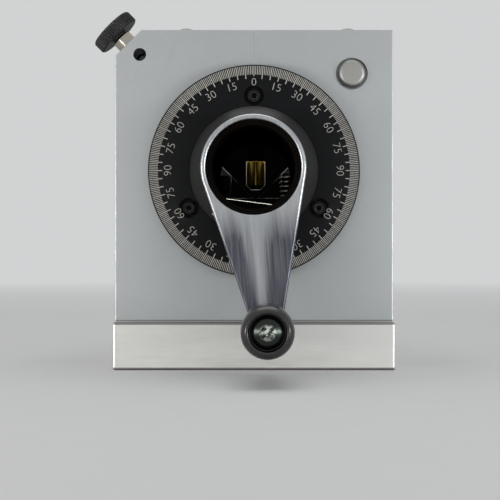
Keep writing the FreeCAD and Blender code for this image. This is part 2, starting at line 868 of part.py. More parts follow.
# Crank and its revolving handle
def make_crank():
    body = new_body("crank_arm", **AXIS)
    end_x = handle_x
    end_z = handle_z - s.spindle_height
    # The straight sides touch the hub circle and the end circle.
    lean = (s.crank_hub_radius - s.crank_end_radius) / s.crank_reach
    flat = root(1 - lean * lean)
    along_x, along_z = sine(s.crank_tilt), -cosine(s.crank_tilt)

    def touch(x, z, radius, side):
        across_x, across_z = -along_z * side, along_x * side
        across = radius * (along_x * lean + across_x * flat)
        up = radius * (along_z * lean + across_z * flat)
        return x + across, z + up

    hub_right = touch(ZERO, ZERO, s.crank_hub_radius, 1)
    hub_left = touch(ZERO, ZERO, s.crank_hub_radius, -1)
    end_right = touch(end_x, end_z, s.crank_end_radius, 1)
    end_left = touch(end_x, end_z, s.crank_end_radius, -1)
    arm = [hub_left, (*end_left, s.crank_end_radius), end_right, hub_right]
    pad(body, "XZ", crank_rear, crank_rear + s.crank_thickness, outlines=[arm])
    pad(body, "XZ", crank_rear, crank_front, circles=[(ZERO, ZERO, s.crank_hub_radius)])
    cut_edges(body, "Fillet", lambda edge: all_at(edge, "Y", crank_rear.value), s.crank_edge)
    pocket(body, "XZ", crank_rear, crank_front, circles=[(ZERO, ZERO, s.neck_radius + s.seat_gap)])
    thread = (end_x, end_z, s.handle_screw_radius + s.seat_gap)
    pocket(body, "XZ", crank_rear, crank_rear + s.crank_thickness, circles=[thread])
    # The set screw lies along a radius through the thick part beside the arm's root.
    sketch = new_sketch(body, "XZ", crank_rear + s.crank_thickness / 2)
    turned = s.crank_tilt - s.crank_pin_turn
    out_x, out_z = sine(turned), -cosine(turned)
    bore = s.crank_pin_radius + s.seat_gap
    start, end = s.bore_radius, s.crank_hub_radius * 2
    add_outline(sketch, [
        (out_x * start, out_z * start),
        (out_x * start - out_z * bore, out_z * start + out_x * bore),
        (out_x * end - out_z * bore, out_z * end + out_x * bore),
        (out_x * end, out_z * end),
    ])
    turn_about_edge(body, sketch, "Groove")
    make_crank_set_screw(out_x, out_z)


def make_crank_set_screw(out_x, out_z):
    body = new_body("crank_set_screw", **AXIS)
    sketch = new_sketch(body, "XZ", crank_rear + s.crank_thickness / 2)
    start = s.neck_radius + s.seat_gap
    end = start + s.crank_pin_length
    radius = s.crank_pin_radius
    add_outline(sketch, [
        (out_x * start, out_z * start),
        (out_x * start - out_z * radius, out_z * start + out_x * radius),
        (out_x * end - out_z * radius, out_z * end + out_x * radius),
        (out_x * end, out_z * end),
    ])
    turn_about_edge(body, sketch, "Revolution")


def make_handle():
    place = {"x": handle_x, "y": crank_rear, "z": handle_z, "rotation": REARWARD}
    grip_end = s.handle_length + s.free_gap
    floor = grip_end - s.handle_sink_depth
    bush_end = floor + s.free_gap
    grip = new_body("handle_grip", **place)
    bore = s.bush_radius + s.running_gap
    belly_curve = curve_through(s.handle_belly_radius - s.handle_root_radius, s.handle_belly_at - s.free_gap)
    tip_curve = curve_through(s.handle_belly_radius - s.handle_tip_radius, s.handle_tip_run)
    turn(grip, [
        (bore, s.free_gap),
        (s.handle_root_radius, s.free_gap, belly_curve),
        (s.handle_belly_radius, s.handle_belly_at),
        (s.handle_belly_radius, grip_end - s.handle_tip_run, tip_curve),
        (s.handle_tip_radius, grip_end),
        (s.handle_sink_radius, grip_end),
        (s.handle_sink_radius, floor),
        (bore, floor),
    ])
    tube("handle_bush", s.handle_screw_radius + s.seat_gap, s.bush_radius, ZERO, bush_end, REARWARD,
         x=handle_x, y=crank_rear, z=handle_z)
    washer_end = bush_end + s.handle_washer
    tube("handle_washer", s.handle_screw_radius + s.seat_gap, s.washer_radius, bush_end, washer_end,
         REARWARD, x=handle_x, y=crank_rear, z=handle_z)
    dome = curve_through(s.pan_head_height - s.pan_head_rim, s.pan_head_radius)
    screw = new_body("handle_screw", **place)
    turn(screw, [
        (ZERO, s.crank_edge - s.crank_thickness),
        (s.handle_screw_radius, s.crank_edge - s.crank_thickness),
        (s.handle_screw_radius, washer_end),
        (s.pan_head_radius, washer_end),
        (s.pan_head_radius, washer_end + s.pan_head_rim, dome),
        (ZERO, washer_end + s.pan_head_height),
    ])


# Index plate, index pin and the detent that holds the pin
def make_index_plate():
    body = new_body("index_plate", **ON_AXIS)
    turn(body, [
        (s.journal_radius + s.seat_gap, plate_rear),
        (s.index_plate_radius - s.spindle_edge, plate_rear),
        (s.index_plate_radius, plate_rear + s.spindle_edge),
        (s.index_plate_radius, plate_front - s.spindle_edge),
        (s.index_plate_radius - s.spindle_edge, plate_front),
        (s.journal_radius + s.seat_gap, plate_front),
    ])
    x, y = spot(s.index_pin_circle, s.index_pin_angle)
    notch = pocket(body, "XY", plate_rear, plate_front, circles=[(x, y, s.index_nose_radius + s.free_gap)])
    ring_pattern(body, notch, s.index_notch_count)
    x, y = spot(s.plate_screw_circle, 0)
    hole = pocket(body, "XY", plate_rear, plate_front, circles=[(x, y, s.plate_screw_radius + s.seat_gap)])
    ring_pattern(body, hole, s.plate_screw_count)
    seat = plate_front - s.plate_head_height
    sink = pocket(body, "XY", seat, plate_front, circles=[(x, y, s.plate_head_radius + s.small_head_room)])
    ring_pattern(body, sink, s.plate_screw_count)
    bracket_holes = [(x, -z, s.bracket_screw_radius + s.seat_gap) for x, z in bracket_screw_centres()]
    pocket(body, "XY", plate_rear, plate_front, circles=bracket_holes)
    pivot = (-s.blade_pivot_x, s.blade_pivot_drop, s.blade_screw_radius + s.seat_gap)
    pocket(body, "XY", plate_front - s.blade_screw_length, plate_front, circles=[pivot])
    count = SIZES["plate_screw_count"]
    centres = [spot(s.plate_screw_circle, 360 * step / count) for step in range(count)]
    head = (s.plate_head_radius, s.plate_head_height)
    shank = (s.plate_screw_radius, s.plate_screw_length)
    cap_screws("index_plate_screws", "XY", centres, seat, 1, head, shank, **ON_AXIS)


def make_index_pin():
    body = new_body("index_pin", x=pin_x, z=pin_z, rotation=FORWARD)
    rear = block_rear - s.index_pin_stand
    nose_end = plate_rear - s.face_gap
    nose_start = nose_end - s.index_nose_length
    waist_end = detent_y + s.detent_ball_radius
    waist_start = waist_end - s.detent_ball_radius * 2 - s.index_travel
    turn(body, [
        (ZERO, rear),
        (s.index_pin_radius - s.index_pin_edge, rear, s.index_pin_edge),
        (s.index_pin_radius, rear + s.index_pin_edge),
        (s.index_pin_radius, waist_start),
        (s.index_waist_radius, waist_start),
        (s.index_waist_radius, waist_end),
        (s.index_pin_radius, waist_end),
        (s.index_pin_radius, nose_start - s.index_nose_edge),
        (s.index_nose_radius, nose_start),
        (s.index_nose_radius, nose_end - s.index_nose_edge),
        (s.index_nose_radius - s.index_nose_edge, nose_end),
        (ZERO, nose_end),
    ])


def make_detent():
    ball_rise = s.index_waist_radius + s.running_gap * 2 + s.detent_ball_radius
    ball = new_body("detent_ball", x=pin_x, y=detent_y, z=pin_z + ball_rise)
    turn_ball(ball, ZERO, ZERO, s.detent_ball_radius)
    spring_start = pin_z + ball_rise + s.detent_ball_radius + s.detent_wire_radius
    spring_end = block_top - s.plug_length - s.detent_wire_radius
    spring = new_body("detent_spring", x=pin_x, y=detent_y, z=spring_start)
    sketch = new_sketch(spring, "XZ")
    add_circles(sketch, [(s.detent_coil_radius, ZERO, s.detent_wire_radius)])
    coil = spring.newObject("PartDesign::AdditiveHelix", "detent_spring_coil")
    coil.Profile = sketch
    coil.ReferenceAxis = (origin_feature(spring, "Z_Axis"), [""])
    coil.Mode = 0
    bind(coil, "Height", spring_end - spring_start)
    bind(coil, "Pitch", (spring_end - spring_start) / s.detent_turns)
    dome = curve_through(s.plug_head_height - s.plug_head_rim, s.plug_head_radius)
    for label, x in (("detent_plug", pin_x), ("oil_plug", oil_x)):
        plug = new_body(label, x=x, y=detent_y, z=block_top)
        turn(plug, [
            (ZERO, -s.plug_length),
            (s.plug_radius, -s.plug_length),
            (s.plug_radius, ZERO),
            (s.plug_head_radius, ZERO),
            (s.plug_head_radius, s.plug_head_rim, dome),
            (ZERO, s.plug_head_height),
        ])


# Thumb screw that clamps a stop rod
def make_stop_screw():
    place = {"x": rod_x, "y": stop_y, "z": rod_z, "rotation": UP_LEFT}
    pad_start = s.rod_radius + s.stop_pad_rest
    stem_start = pad_start + s.stop_pad_length
    neck_end = rod_to_chamfer + s.stop_neck_out
    knob_start = rod_to_chamfer + s.stop_knob_at
    knob_end = knob_start + s.stop_knob_length
    stop_pad = new_body("stop_pad", **place)
    turn(stop_pad, [
        (ZERO, pad_start),
        (s.stop_pad_radius, pad_start),
        (s.stop_pad_radius, stem_start),
        (ZERO, stem_start),
    ])
    stem = new_body("stop_screw", **place)
    turn(stem, [
        (ZERO, stem_start),
        (s.stop_screw_radius, stem_start),
        (s.stop_screw_radius, neck_end - s.stop_neck_edge),
        (s.stop_screw_radius - s.stop_neck_edge, neck_end),
        (s.stop_core_radius, neck_end),
        (s.stop_core_radius, knob_end - s.stop_knob_edge),
        (ZERO, knob_end - s.stop_knob_edge),
    ])
    tube("stop_knob", s.stop_core_radius + s.seat_gap, s.stop_knob_radius, knob_start, knob_end, UP_LEFT,
         edge=s.stop_knob_edge, x=rod_x, y=stop_y, z=rod_z)


# Guide post, lead screw and the bracket that carries them
def bracket_screw_centres():
    middle = s.bracket_height / 2 - s.bracket_drop
    return [(-(s.bracket_screw_spread / 2), middle), (s.bracket_screw_spread / 2, middle)]


def make_posts():
    bracket = new_body("post_bracket", **AXIS)
    half = s.bracket_width / 2
    bracket_front = plate_front + s.bracket_depth
    outline = box_outline(-half, -s.bracket_drop, half, bracket_top)
    pad(bracket, "XZ", plate_front, bracket_front, outlines=[outline])
    cut_edges(bracket, "Chamfer", lambda edge: not all_at(edge, "Y", plate_front.value), s.fixture_edge)
    seat = bracket_front - s.bracket_head_height
    centres = bracket_screw_centres()
    holes = [(x, z, s.bracket_screw_radius + s.seat_gap) for x, z in centres]
    pocket(bracket, "XZ", plate_front, bracket_front, circles=holes)
    sinks = [(x, z, s.bracket_head_radius + s.small_head_room) for x, z in centres]
    pocket(bracket, "XZ", seat, bracket_front, circles=sinks)
    post = (-post_x, post_y, s.post_radius + s.seat_gap)
    journal = (post_x, post_y, s.lead_journal_radius + s.running_gap)
    pocket(bracket, "XY", -s.bracket_drop, bracket_top, circles=[post, journal])
    collar_top = s.lead_collar_width - s.bracket_drop + s.face_gap * 2
    collar_room = (post_x, post_y, s.lead_collar_radius + s.free_gap)
    pocket(bracket, "XY", -s.bracket_drop, collar_top, circles=[collar_room])
    head = (s.bracket_head_radius, s.bracket_head_height)
    shank = (s.bracket_screw_radius, s.bracket_screw_length)
    cap_screws("bracket_screws", "XZ", centres, seat, 1, head, shank, **AXIS)
    guide = new_body("guide_post", x=-post_x, y=post_y, z=s.spindle_height)
    turn(guide, [
        (ZERO, -s.bracket_drop),
        (s.post_radius, -s.bracket_drop),
        (s.post_radius, s.post_rise - s.post_chamfer),
        (s.post_radius - s.post_chamfer, s.post_rise),
        (ZERO, s.post_rise),
    ])
    make_lead_screw(collar_top)


def make_lead_screw(collar_top):
    place = {"x": post_x, "y": post_y, "z": s.spindle_height}
    lead = new_body("lead_screw", **place)
    shoulder = bracket_top + s.free_gap
    turn(lead, [
        (ZERO, -s.bracket_drop),
        (s.lead_journal_radius, -s.bracket_drop),
        (s.lead_journal_radius, shoulder),
        (s.post_radius, shoulder),
        (s.post_radius, s.post_rise - s.post_chamfer),
        (s.post_radius - s.post_chamfer, s.post_rise),
        (ZERO, s.post_rise),
    ])
    key = []
    for corner in range(6):
        angle = constant(60 * corner)
        key.append((s.lead_key_radius * cosine(angle), s.lead_key_radius * sine(angle)))
    pocket(lead, "XY", s.post_rise - s.lead_key_depth, s.post_rise, outlines=[key])
    tube("lead_collar", s.lead_journal_radius + s.seat_gap, s.lead_collar_radius,
         -s.bracket_drop, collar_top - s.free_gap, UPRIGHT, **place)


# Carriage, V block and its clamp
def v_screw_centres():
    return [(ZERO, -s.v_screw_drop), (ZERO, -(s.v_screw_drop + s.v_screw_pitch))]


def make_carriage():
    body = new_body("v_carriage", **AXIS)
    half = s.carriage_width / 2
    outline = box_outline(-half, carriage_rear, half, carriage_front)
    pad(body, "XY", carriage_bottom, carriage_top, outlines=[outline])
    cut_edges(body, "Chamfer", lambda edge: not all_at(edge, "Y", carriage_front.value), s.fixture_edge)
    post = (-post_x, post_y, s.post_radius + s.running_gap)
    nut = (post_x, post_y, s.lead_nut_radius + s.seat_gap)
    pocket(body, "XY", carriage_bottom, carriage_top, circles=[post, nut])
    flange = (post_x, post_y, s.lead_nut_flange_radius + s.seat_gap)
    pocket(body, "XY", carriage_bottom, carriage_bottom + s.lead_nut_flange, circles=[flange])
    holes = [(x, z, s.v_screw_radius + s.seat_gap) for x, z in v_screw_centres()]
    hole_start = v_front - s.v_head_height - s.v_screw_length
    pocket(body, "XZ", hole_start, carriage_front, circles=holes)
    nut_body = new_body("lead_nut", x=post_x, y=post_y, z=s.spindle_height)
    bore = s.post_radius + s.running_gap
    turn(nut_body, [
        (bore, carriage_bottom),
        (s.lead_nut_flange_radius, carriage_bottom),
        (s.lead_nut_flange_radius, carriage_bottom + s.lead_nut_flange),
        (s.lead_nut_radius, carriage_bottom + s.lead_nut_flange),
        (s.lead_nut_radius, carriage_top),
        (bore, carriage_top),
    ])


def make_v_block():
    body = new_body("v_block", **AXIS)
    half = s.v_width / 2
    relief = s.v_relief_width / 2
    bottom = v_top - s.v_height
    relief_top = relief - s.v_apex_drop
    outline = [
        (-half, bottom),
        (half, bottom),
        (half, v_top),
        (s.v_half_opening, v_top),
        (relief, relief_top),
        (relief, -(s.v_apex_drop + s.v_relief_depth)),
        (-relief, -(s.v_apex_drop + s.v_relief_depth)),
        (-relief, relief_top),
        (-s.v_half_opening, v_top),
        (-half, v_top),
    ]
    pad(body, "XZ", carriage_front, v_front, outlines=[outline])
    cut_edges(body, "Chamfer", lambda edge: all_at(edge, "Y", v_front.value), s.fixture_edge)
    holes = [(x, z, s.v_screw_radius + s.seat_gap) for x, z in v_screw_centres()]
    pocket(body, "XZ", carriage_front, v_front, circles=holes)
    seat = v_front - s.v_head_height
    sinks = [(x, z, s.v_head_radius + s.small_head_room) for x, z in v_screw_centres()]
    pocket(body, "XZ", seat, v_front, circles=sinks)
    bridge_thread = bridge_screw_circles(s.bridge_screw_radius + s.seat_gap)
    depth = s.bridge_screw_length - s.bridge_leg
    pocket(body, "YZ", -half, depth - half, circles=bridge_thread)
    pocket(body, "YZ", half - depth, half, circles=bridge_thread)
    head = (s.v_head_radius, s.v_head_height)
    shank = (s.v_screw_radius, s.v_screw_length)
    cap_screws("v_block_screws", "XZ", v_screw_centres(), seat, 1, head, shank, **AXIS)


def bridge_screw_circles(radius):
    return [(clamp_y, v_top - s.bridge_screw_drop, radius)]


def make_bridge():
    body = new_body("clamp_bridge", **AXIS)
    inner = s.v_width / 2
    outer = inner + s.bridge_leg
    bottom = v_top - s.bridge_bottom_drop
    outline = [
        (-outer, bottom),
        (-inner, bottom),
        (-inner, s.bridge_clear),
        (inner, s.bridge_clear),
        (inner, bottom),
        (outer, bottom),
        (outer, bridge_top - s.bridge_corner),
        (outer - s.bridge_corner, bridge_top),
        (s.bridge_corner - outer, bridge_top),
        (-outer, bridge_top - s.bridge_corner),
    ]
    bridge_front = bridge_rear + s.bridge_length
    pad(body, "XZ", bridge_rear, bridge_front, outlines=[outline])
    faces = (bridge_rear.value, bridge_front.value)
    cut_edges(body, "Chamfer", lambda edge: any(all_at(edge, "Y", face) for face in faces), s.fixture_edge)
    thread = (ZERO, clamp_y, s.clamp_screw_radius + s.running_gap)
    pocket(body, "XY", s.bridge_clear, bridge_top, circles=[thread])
    holes = bridge_screw_circles(s.bridge_screw_radius + s.seat_gap)
    pocket(body, "YZ", -outer, outer, circles=holes)
    make_bridge_screws(outer)
    make_clamp()


def make_bridge_screws(outer):
    body = new_body("bridge_screws", **AXIS)
    heads = bridge_screw_circles(s.bridge_head_radius)
    shanks = bridge_screw_circles(s.bridge_screw_radius)
    pad(body, "YZ", -(outer + s.bridge_head_height), -outer, circles=heads)
    pad(body, "YZ", -outer, s.bridge_screw_length - outer, circles=shanks)
    pad(body, "YZ", outer, outer + s.bridge_head_height, circles=heads)
    pad(body, "YZ", outer - s.bridge_screw_length, outer, circles=shanks)


def make_clamp():
    place = {"y": clamp_y, "z": s.spindle_height}
    clamp_pad = new_body("clamp_pad", **place)
    pad_bottom = s.clamp_pad_top - s.clamp_pad_length
    tip = pad_bottom - s.clamp_pad_taper
    turn(clamp_pad, [
        (ZERO, tip),
        (s.clamp_pad_tip_radius, tip),
        (s.clamp_pad_radius, pad_bottom),
        (s.clamp_pad_radius, s.clamp_pad_top),
        (ZERO, s.clamp_pad_top),
    ])
    screw = new_body("clamp_screw", **place)
    thread_start = s.bridge_clear - s.face_gap * 2
    knob_start = bridge_top + s.clamp_knob_gap
    knob_end = knob_start + s.clamp_knob_length
    turn(screw, [
        (ZERO, s.clamp_pad_top),
        (s.clamp_stem_radius, s.clamp_pad_top),
        (s.clamp_stem_radius, thread_start),
        (s.clamp_screw_radius, thread_start),
        (s.clamp_screw_radius, knob_end - s.clamp_knob_edge),
        (ZERO, knob_end - s.clamp_knob_edge),
    ])
    tube("clamp_knob", s.clamp_screw_radius + s.seat_gap, s.clamp_knob_radius, knob_start, knob_end,
         UPRIGHT, edge=s.clamp_knob_edge, **place)


# End stop blade, which swings in front of the bore
def make_blade():
    pivot_z = s.spindle_height - s.blade_pivot_drop
    place = {"x": -s.blade_pivot_x, "z": pivot_z}
    tilt = FreeCAD.Rotation(FreeCAD.Vector(0, 1, 0), s.blade_tilt.value)
    body = new_body("end_stop_blade", rotation=tilt, **place)
    start = plate_front + s.free_gap
    end = start + s.blade_thickness
    half = s.blade_height / 2
    pad(body, "XZ", start, end, outlines=[box_outline(-s.blade_tail, -half, s.blade_reach, half)])
    cut_edges(body, "Chamfer", lambda edge: all_at(edge, "Y", end.value), s.blade_edge)
    hole = (ZERO, ZERO, s.blade_screw_radius + s.running_gap)
    pocket(body, "XZ", start, end, circles=[hole])
    head = (s.blade_head_radius, s.blade_head_height)
    shank = (s.blade_screw_radius, s.blade_screw_length)
    cap_screws("blade_screw", "XZ", [(ZERO, ZERO)], end + s.free_gap, 1, head, shank, **place)


def check_document():
    """Stop on any failed object and on any piece that is empty or not valid."""
    faults = [item.Label for item in doc.Objects if {"Invalid", "Error"} & set(item.State)]
    faults += [body.Label for body in pieces if body.Shape.isNull() or not body.Shape.isValid()]
    if faults:
        raise RuntimeError("failed objects: " + ", ".join(faults))


def export_pieces():
    os.makedirs("parts", exist_ok=True)
    for body in pieces:
        body.Shape.exportStep(f"parts/{body.Label}.step")


make_base_plate()
make_block()
make_base_fasteners()
make_spindle()
make_bearing_stack()
make_bearing_cover()
make_dial()
make_crank()
make_handle()
make_index_plate()
make_index_pin()
make_detent()
make_stop_screw()
make_posts()
make_carriage()
make_v_block()
make_bridge()
make_blade()
doc.recompute()
check_document()
export_pieces()
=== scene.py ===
import json
import math

import bmesh
import bpy
from mathutils import Matrix, Vector


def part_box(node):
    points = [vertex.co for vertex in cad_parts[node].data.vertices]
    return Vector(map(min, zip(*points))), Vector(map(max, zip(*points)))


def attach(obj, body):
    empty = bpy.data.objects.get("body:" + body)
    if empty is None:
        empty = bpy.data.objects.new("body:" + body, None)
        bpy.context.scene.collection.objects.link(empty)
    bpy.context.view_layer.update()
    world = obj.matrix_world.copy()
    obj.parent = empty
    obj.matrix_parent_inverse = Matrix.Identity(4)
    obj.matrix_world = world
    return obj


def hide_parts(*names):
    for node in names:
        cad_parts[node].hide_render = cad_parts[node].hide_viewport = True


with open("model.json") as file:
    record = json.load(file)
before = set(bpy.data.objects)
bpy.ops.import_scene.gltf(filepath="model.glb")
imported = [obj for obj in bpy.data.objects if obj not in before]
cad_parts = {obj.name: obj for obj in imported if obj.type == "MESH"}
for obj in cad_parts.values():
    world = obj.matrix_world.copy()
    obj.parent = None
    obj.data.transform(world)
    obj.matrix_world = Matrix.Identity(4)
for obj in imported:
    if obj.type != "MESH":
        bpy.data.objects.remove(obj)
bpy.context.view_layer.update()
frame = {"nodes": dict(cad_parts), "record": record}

# Shapes are written in millimetres and become metres in the meshes.
MM = 0.001


class Extent:
    """A CAD node's box in millimetres."""

    def __init__(self, node):
        low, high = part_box(node)
        self.low = low / MM
        self.high = high / MM
        self.middle = (self.low + self.high) / 2
        self.size = self.high - self.low


def mount_named(name):
    return next(item for item in frame["record"]["mounts"] if item["name"] == name)


block = Extent("housing_block")
base = Extent("base_plate")
dial = Extent("dial_plate")
hub = Extent("dial_hub")
tube = Extent("spindle")
crank = Extent("crank_arm")
grip = Extent("handle_grip")
pin = Extent("index_pin")
plate = Extent("index_plate")
bracket = Extent("post_bracket")
post = Extent("guide_post")
lead = Extent("lead_screw")
carriage = Extent("v_carriage")
nut = Extent("lead_nut")
vee = Extent("v_block")
bridge = Extent("clamp_bridge")
clamp = Extent("clamp_screw")
clamp_knob = Extent("clamp_knob")
stop_rod = Vector(mount_named("stop_rod_hole")["pos_m"]) / MM

# The spindle's axis, and the way from it to the handle
AXIS_X = tube.middle.x
AXIS_Z = tube.middle.z
to_handle = Vector((grip.middle.x - AXIS_X, grip.middle.z - AXIS_Z))
crank_tilt = math.atan2(to_handle.x, -to_handle.y)

# Sizes that no box gives, as in the part's source
SEAT_GAP = 0.05
FREE_GAP = 0.3
HEAD_ROOM = 0.15
BASE_EDGE = 1
BASE_HEAD = 5
BASE_HEAD_SINK = 7
BASE_SHANK = 3
DOWEL = 3
BLOCK_CORNER = 10
BLOCK_EDGE = 0.5
LINE_LENGTH = 12.5
LINE_WIDTH = 0.5
LINE_DEPTH = 0.4
COVER_SEAT = 39.5
COVER_DEPTH = 7
BEARING = 34
FRONT_LIP = 31
FRONT_LIP_WIDTH = 2
STOP_ROD = 2.5
STOP_SCREW = 4
PIN_EDGE = 1.4
PIN_MOUTH = 6.1
PIN_MOUTH_DEPTH = 4
PIN_WAIST = 4.2
PIN_WAIST_START = 26
PIN_WAIST_END = 35
PIN_NOSE = 4
PIN_NOSE_LENGTH = 7
PIN_NOSE_EDGE = 1
PLUG_THREAD = 3
PLUG_DOME = 1.4
DETENT_BORE = 2.1
OIL_HOLE = 1.5
BORE = 15
NECK = 17
JOURNAL = 20
SHOULDER = 23
FLANGE = 33
FLANGE_WIDTH = 8
SPINDLE_EDGE = 0.5
DIAL_FLAT = 32
DIAL_FALL = 1.5
DIAL_WEB = 5
DIAL_SCREW_CIRCLE = 28.2
DIAL_SINK = 3.85
DIAL_SINK_DEPTH = 3.2
HUB_CONE = 24.3
HUB_NECK = 18.5
CRANK_HUB = 19
CRANK_THICKNESS = 10
CRANK_EDGE = 0.8
SET_SCREW = 2
SET_SCREW_LENGTH = 5.5
SET_SCREW_TURN = 42
HANDLE_SHANK = 3
BUSH = 4
GRIP_ROOT = 6.9
GRIP_BELLY_AT = 38
GRIP_TIP = 7.2
GRIP_TIP_RUN = 3
GRIP_SINK = 6.35
GRIP_SINK_DEPTH = 4.8
PAN_HEAD = 5.7
PAN_HEAD_RIM = 1.2
PAN_HEAD_HEIGHT = 3.2
NOTCH_COUNT = 24
NOTCH_CIRCLE = 52.7
NOTCH = 4.3
PLATE_SCREW_CIRCLE = 26
POST_CHAMFER = 5
FIXTURE_EDGE = 0.5
LEAD_JOURNAL = 5
LEAD_KEY = 2.7
LEAD_KEY_DEPTH = 6
COLLAR_ROOM = 7.3
COLLAR_ROOM_DEPTH = 4
NUT = 9.6
NUT_FLANGE = 2
VEE_HALF_OPENING = 18.5
VEE_APEX_DROP = 8.5
VEE_RELIEF = 1
VEE_RELIEF_DEPTH = 3
BRIDGE_LEG = 6
BRIDGE_CLEAR = 25
BRIDGE_CORNER = 4
CLAMP_SCREW = 4
CLAMP_STEM = 3.6
PAD_TAPER = 2
KNOB_EDGE = 0.8
STOP_NECK_EDGE = 0.8
STOP_CORE = 3
STOP_KNOB = 9.2
STOP_KNOB_AT = 7.3
STOP_KNOB_LENGTH = 5.1
STOP_KNOB_EDGE = 0.6
STOP_PAD_REST = 0.3125
STOP_PAD_LENGTH = 1
BLADE_TILT = 7.2
BLADE_REACH = 57
BLADE_TAIL = 5
BLADE_HALF = 4

# The crank narrows more than its rigid solid does. Its sides aim at a small
# circle round the handle's axis, and a boss takes the handle's screw.
CRANK_END = 5.3
CRANK_BOSS = 6.9

# Broken and rounded edges, as the scene shows them
BLADE_EDGE = 0.2
SLIGHT_EDGE = 0.1
RECESS_EDGE = 0.12
FINE_EDGE = 0.15
EASED_EDGE = 0.2
RIM_EDGE = 0.25
SOFT_EDGE = 0.3
FLANGE_EDGE = 0.4
GRIP_MOUTH_EDGE = 0.5
HUB_FILLET = 0.6

# How far a cutter reaches past what it cuts
PAST = 1


# Shapes
def around(count, start=0.0):
    """Evenly spaced angles of a full turn."""
    return [start + 2 * math.pi * step / count for step in range(count)]


def circle(x, y, radius, count=64):
    return [Vector((x + radius * math.cos(a), y + radius * math.sin(a))) for a in around(count)]


def polar(angle, length):
    return Vector((math.cos(angle), math.sin(angle))) * length


def arc_points(x, y, radius, start, sweep, count):
    angles = [start + sweep * step / count for step in range(count + 1)]
    return [Vector((x + radius * math.cos(a), y + radius * math.sin(a))) for a in angles]


def rounded(corners, steps=4):
    """A closed outline of (x, y) or (x, y, radius) corners, with the corners that have one rounded."""
    points = []
    for index, corner in enumerate(corners):
        here = Vector(corner[:2])
        if len(corner) == 2:
            points.append(here)
            continue
        before = Vector(corners[index - 1][:2]) - here
        after = Vector(corners[(index + 1) % len(corners)][:2]) - here
        cut = corner[2] / math.tan(before.angle(after) / 2)
        first = here + before.normalized() * min(cut, before.length * 0.49)
        last = here + after.normalized() * min(cut, after.length * 0.49)
        for step in range(steps + 1):
            t = step / steps
            points.append(first * (1 - t) ** 2 + here * 2 * t * (1 - t) + last * t * t)
    return points


def dome(radius, low, rise, steps=10):
    """The outline of a spherical cap, from its rim to its top."""
    curve = (rise * rise + radius * radius) / (2 * rise)
    reach = math.asin(radius / curve)
    angles = [reach * (1 - step / steps) for step in range(steps + 1)]
    return [(curve * math.sin(a), low + rise - curve + curve * math.cos(a)) for a in angles]


def smooth_by_angle(mesh, angle=35):
    mesh.shade_smooth()
    mesh.set_sharp_from_angle(angle=math.radians(angle))


def new_object(name, data):
    obj = bpy.data.objects.new(name, data)
    bpy.context.scene.collection.objects.link(obj)
    return obj


def to_object(name, bm, place=Matrix.Identity(4), smooth=35):
    """The bmesh as an object in metres, smooth up to an angle."""
    bmesh.ops.recalc_face_normals(bm, faces=bm.faces)
    bmesh.ops.scale(bm, vec=(MM, MM, MM), verts=bm.verts)
    mesh = bpy.data.meshes.new(name)
    bm.to_mesh(mesh)
    bm.free()
    smooth_by_angle(mesh, smooth)
    obj = new_object(name, mesh)
    obj.matrix_world = place
    return obj


TURNS = {
    "z": Matrix.Identity(4),
    "y": Matrix.Rotation(math.radians(-90), 4, "X"),
    "-y": Matrix.Rotation(math.radians(90), 4, "X"),
    "x": Matrix.Rotation(math.radians(90), 4, "Y"),
    "-x": Matrix.Rotation(math.radians(-90), 4, "Y"),
    "up_left": Matrix.Rotation(math.radians(-45), 4, "Y"),
}


def at(x, y, z, direction="z"):
    """A place in the frame whose own Z axis points along the direction."""
    return Matrix.Translation(Vector((x, y, z)) * MM) @ TURNS[direction]


def on_axis(direction="y"):
    return at(AXIS_X, 0, AXIS_Z, direction)


def standing(extent):
    """A place on a node's own upright axis, at the frame's floor."""
    return at(extent.middle.x, extent.middle.y, 0)


def turned(place, angle):
    return place @ Matrix.Rotation(angle, 4, "Z")


def skin(bm, rows):
    """Faces between rows of vertices; a row of one vertex is a pole."""
    for row, following in zip(rows, rows[1:]):
        count = max(len(row), len(following))
        for step in range(count):
            after = (step + 1) % count
            quad = [row[step % len(row)], row[after % len(row)],
                    following[after % len(following)], following[step % len(following)]]
            distinct = list(dict.fromkeys(quad))
            if len(distinct) > 2:
                bm.faces.new(distinct)


def lathe(name, corners, place, segments=128, knurl=None):
    """The outline (radius, height) turned about the place's Z axis. knurl is (count, depth, least radius)."""
    bm = bmesh.new()
    rows = []
    for radius, height in rounded(corners):
        if radius < 1e-6:
            rows.append([bm.verts.new((0, 0, height))])
            continue
        row = []
        for angle in around(segments):
            out = radius
            if knurl and radius > knurl[2]:
                out -= knurl[1] * abs((angle * knurl[0] / (2 * math.pi)) % 1 - 0.5) * 2
            row.append(bm.verts.new((out * math.cos(angle), out * math.sin(angle), height)))
        rows.append(row)
    skin(bm, rows + rows[:1])
    return to_object(name, bm, place)


def thread(name, radius, depth, pitch, low, high, place, taper=0.0, segments=48):
    """A right-hand thread as a grid that follows the helix, tapered at 45 degrees at its upper end."""
    rows_per_turn, flank = 8, 2.6
    bm = bmesh.new()
    steps = int((high - low) / pitch * rows_per_turn)
    rows = []
    for index in range(steps + 1):
        height = low + (high - low) * index / steps
        row = []
        for angle in around(segments):
            phase = (height / pitch - angle / (2 * math.pi)) % 1
            out = radius - depth * min(1, abs(phase - 0.5) * flank)
            if taper:
                out = min(out, radius - taper + (high - height))
            row.append(bm.verts.new((out * math.cos(angle), out * math.sin(angle), height)))
        rows.append(row)
    skin(bm, rows)
    bm.faces.new(rows[0])
    bm.faces.new(rows[-1])
    return to_object(name, bm, place, smooth=25)


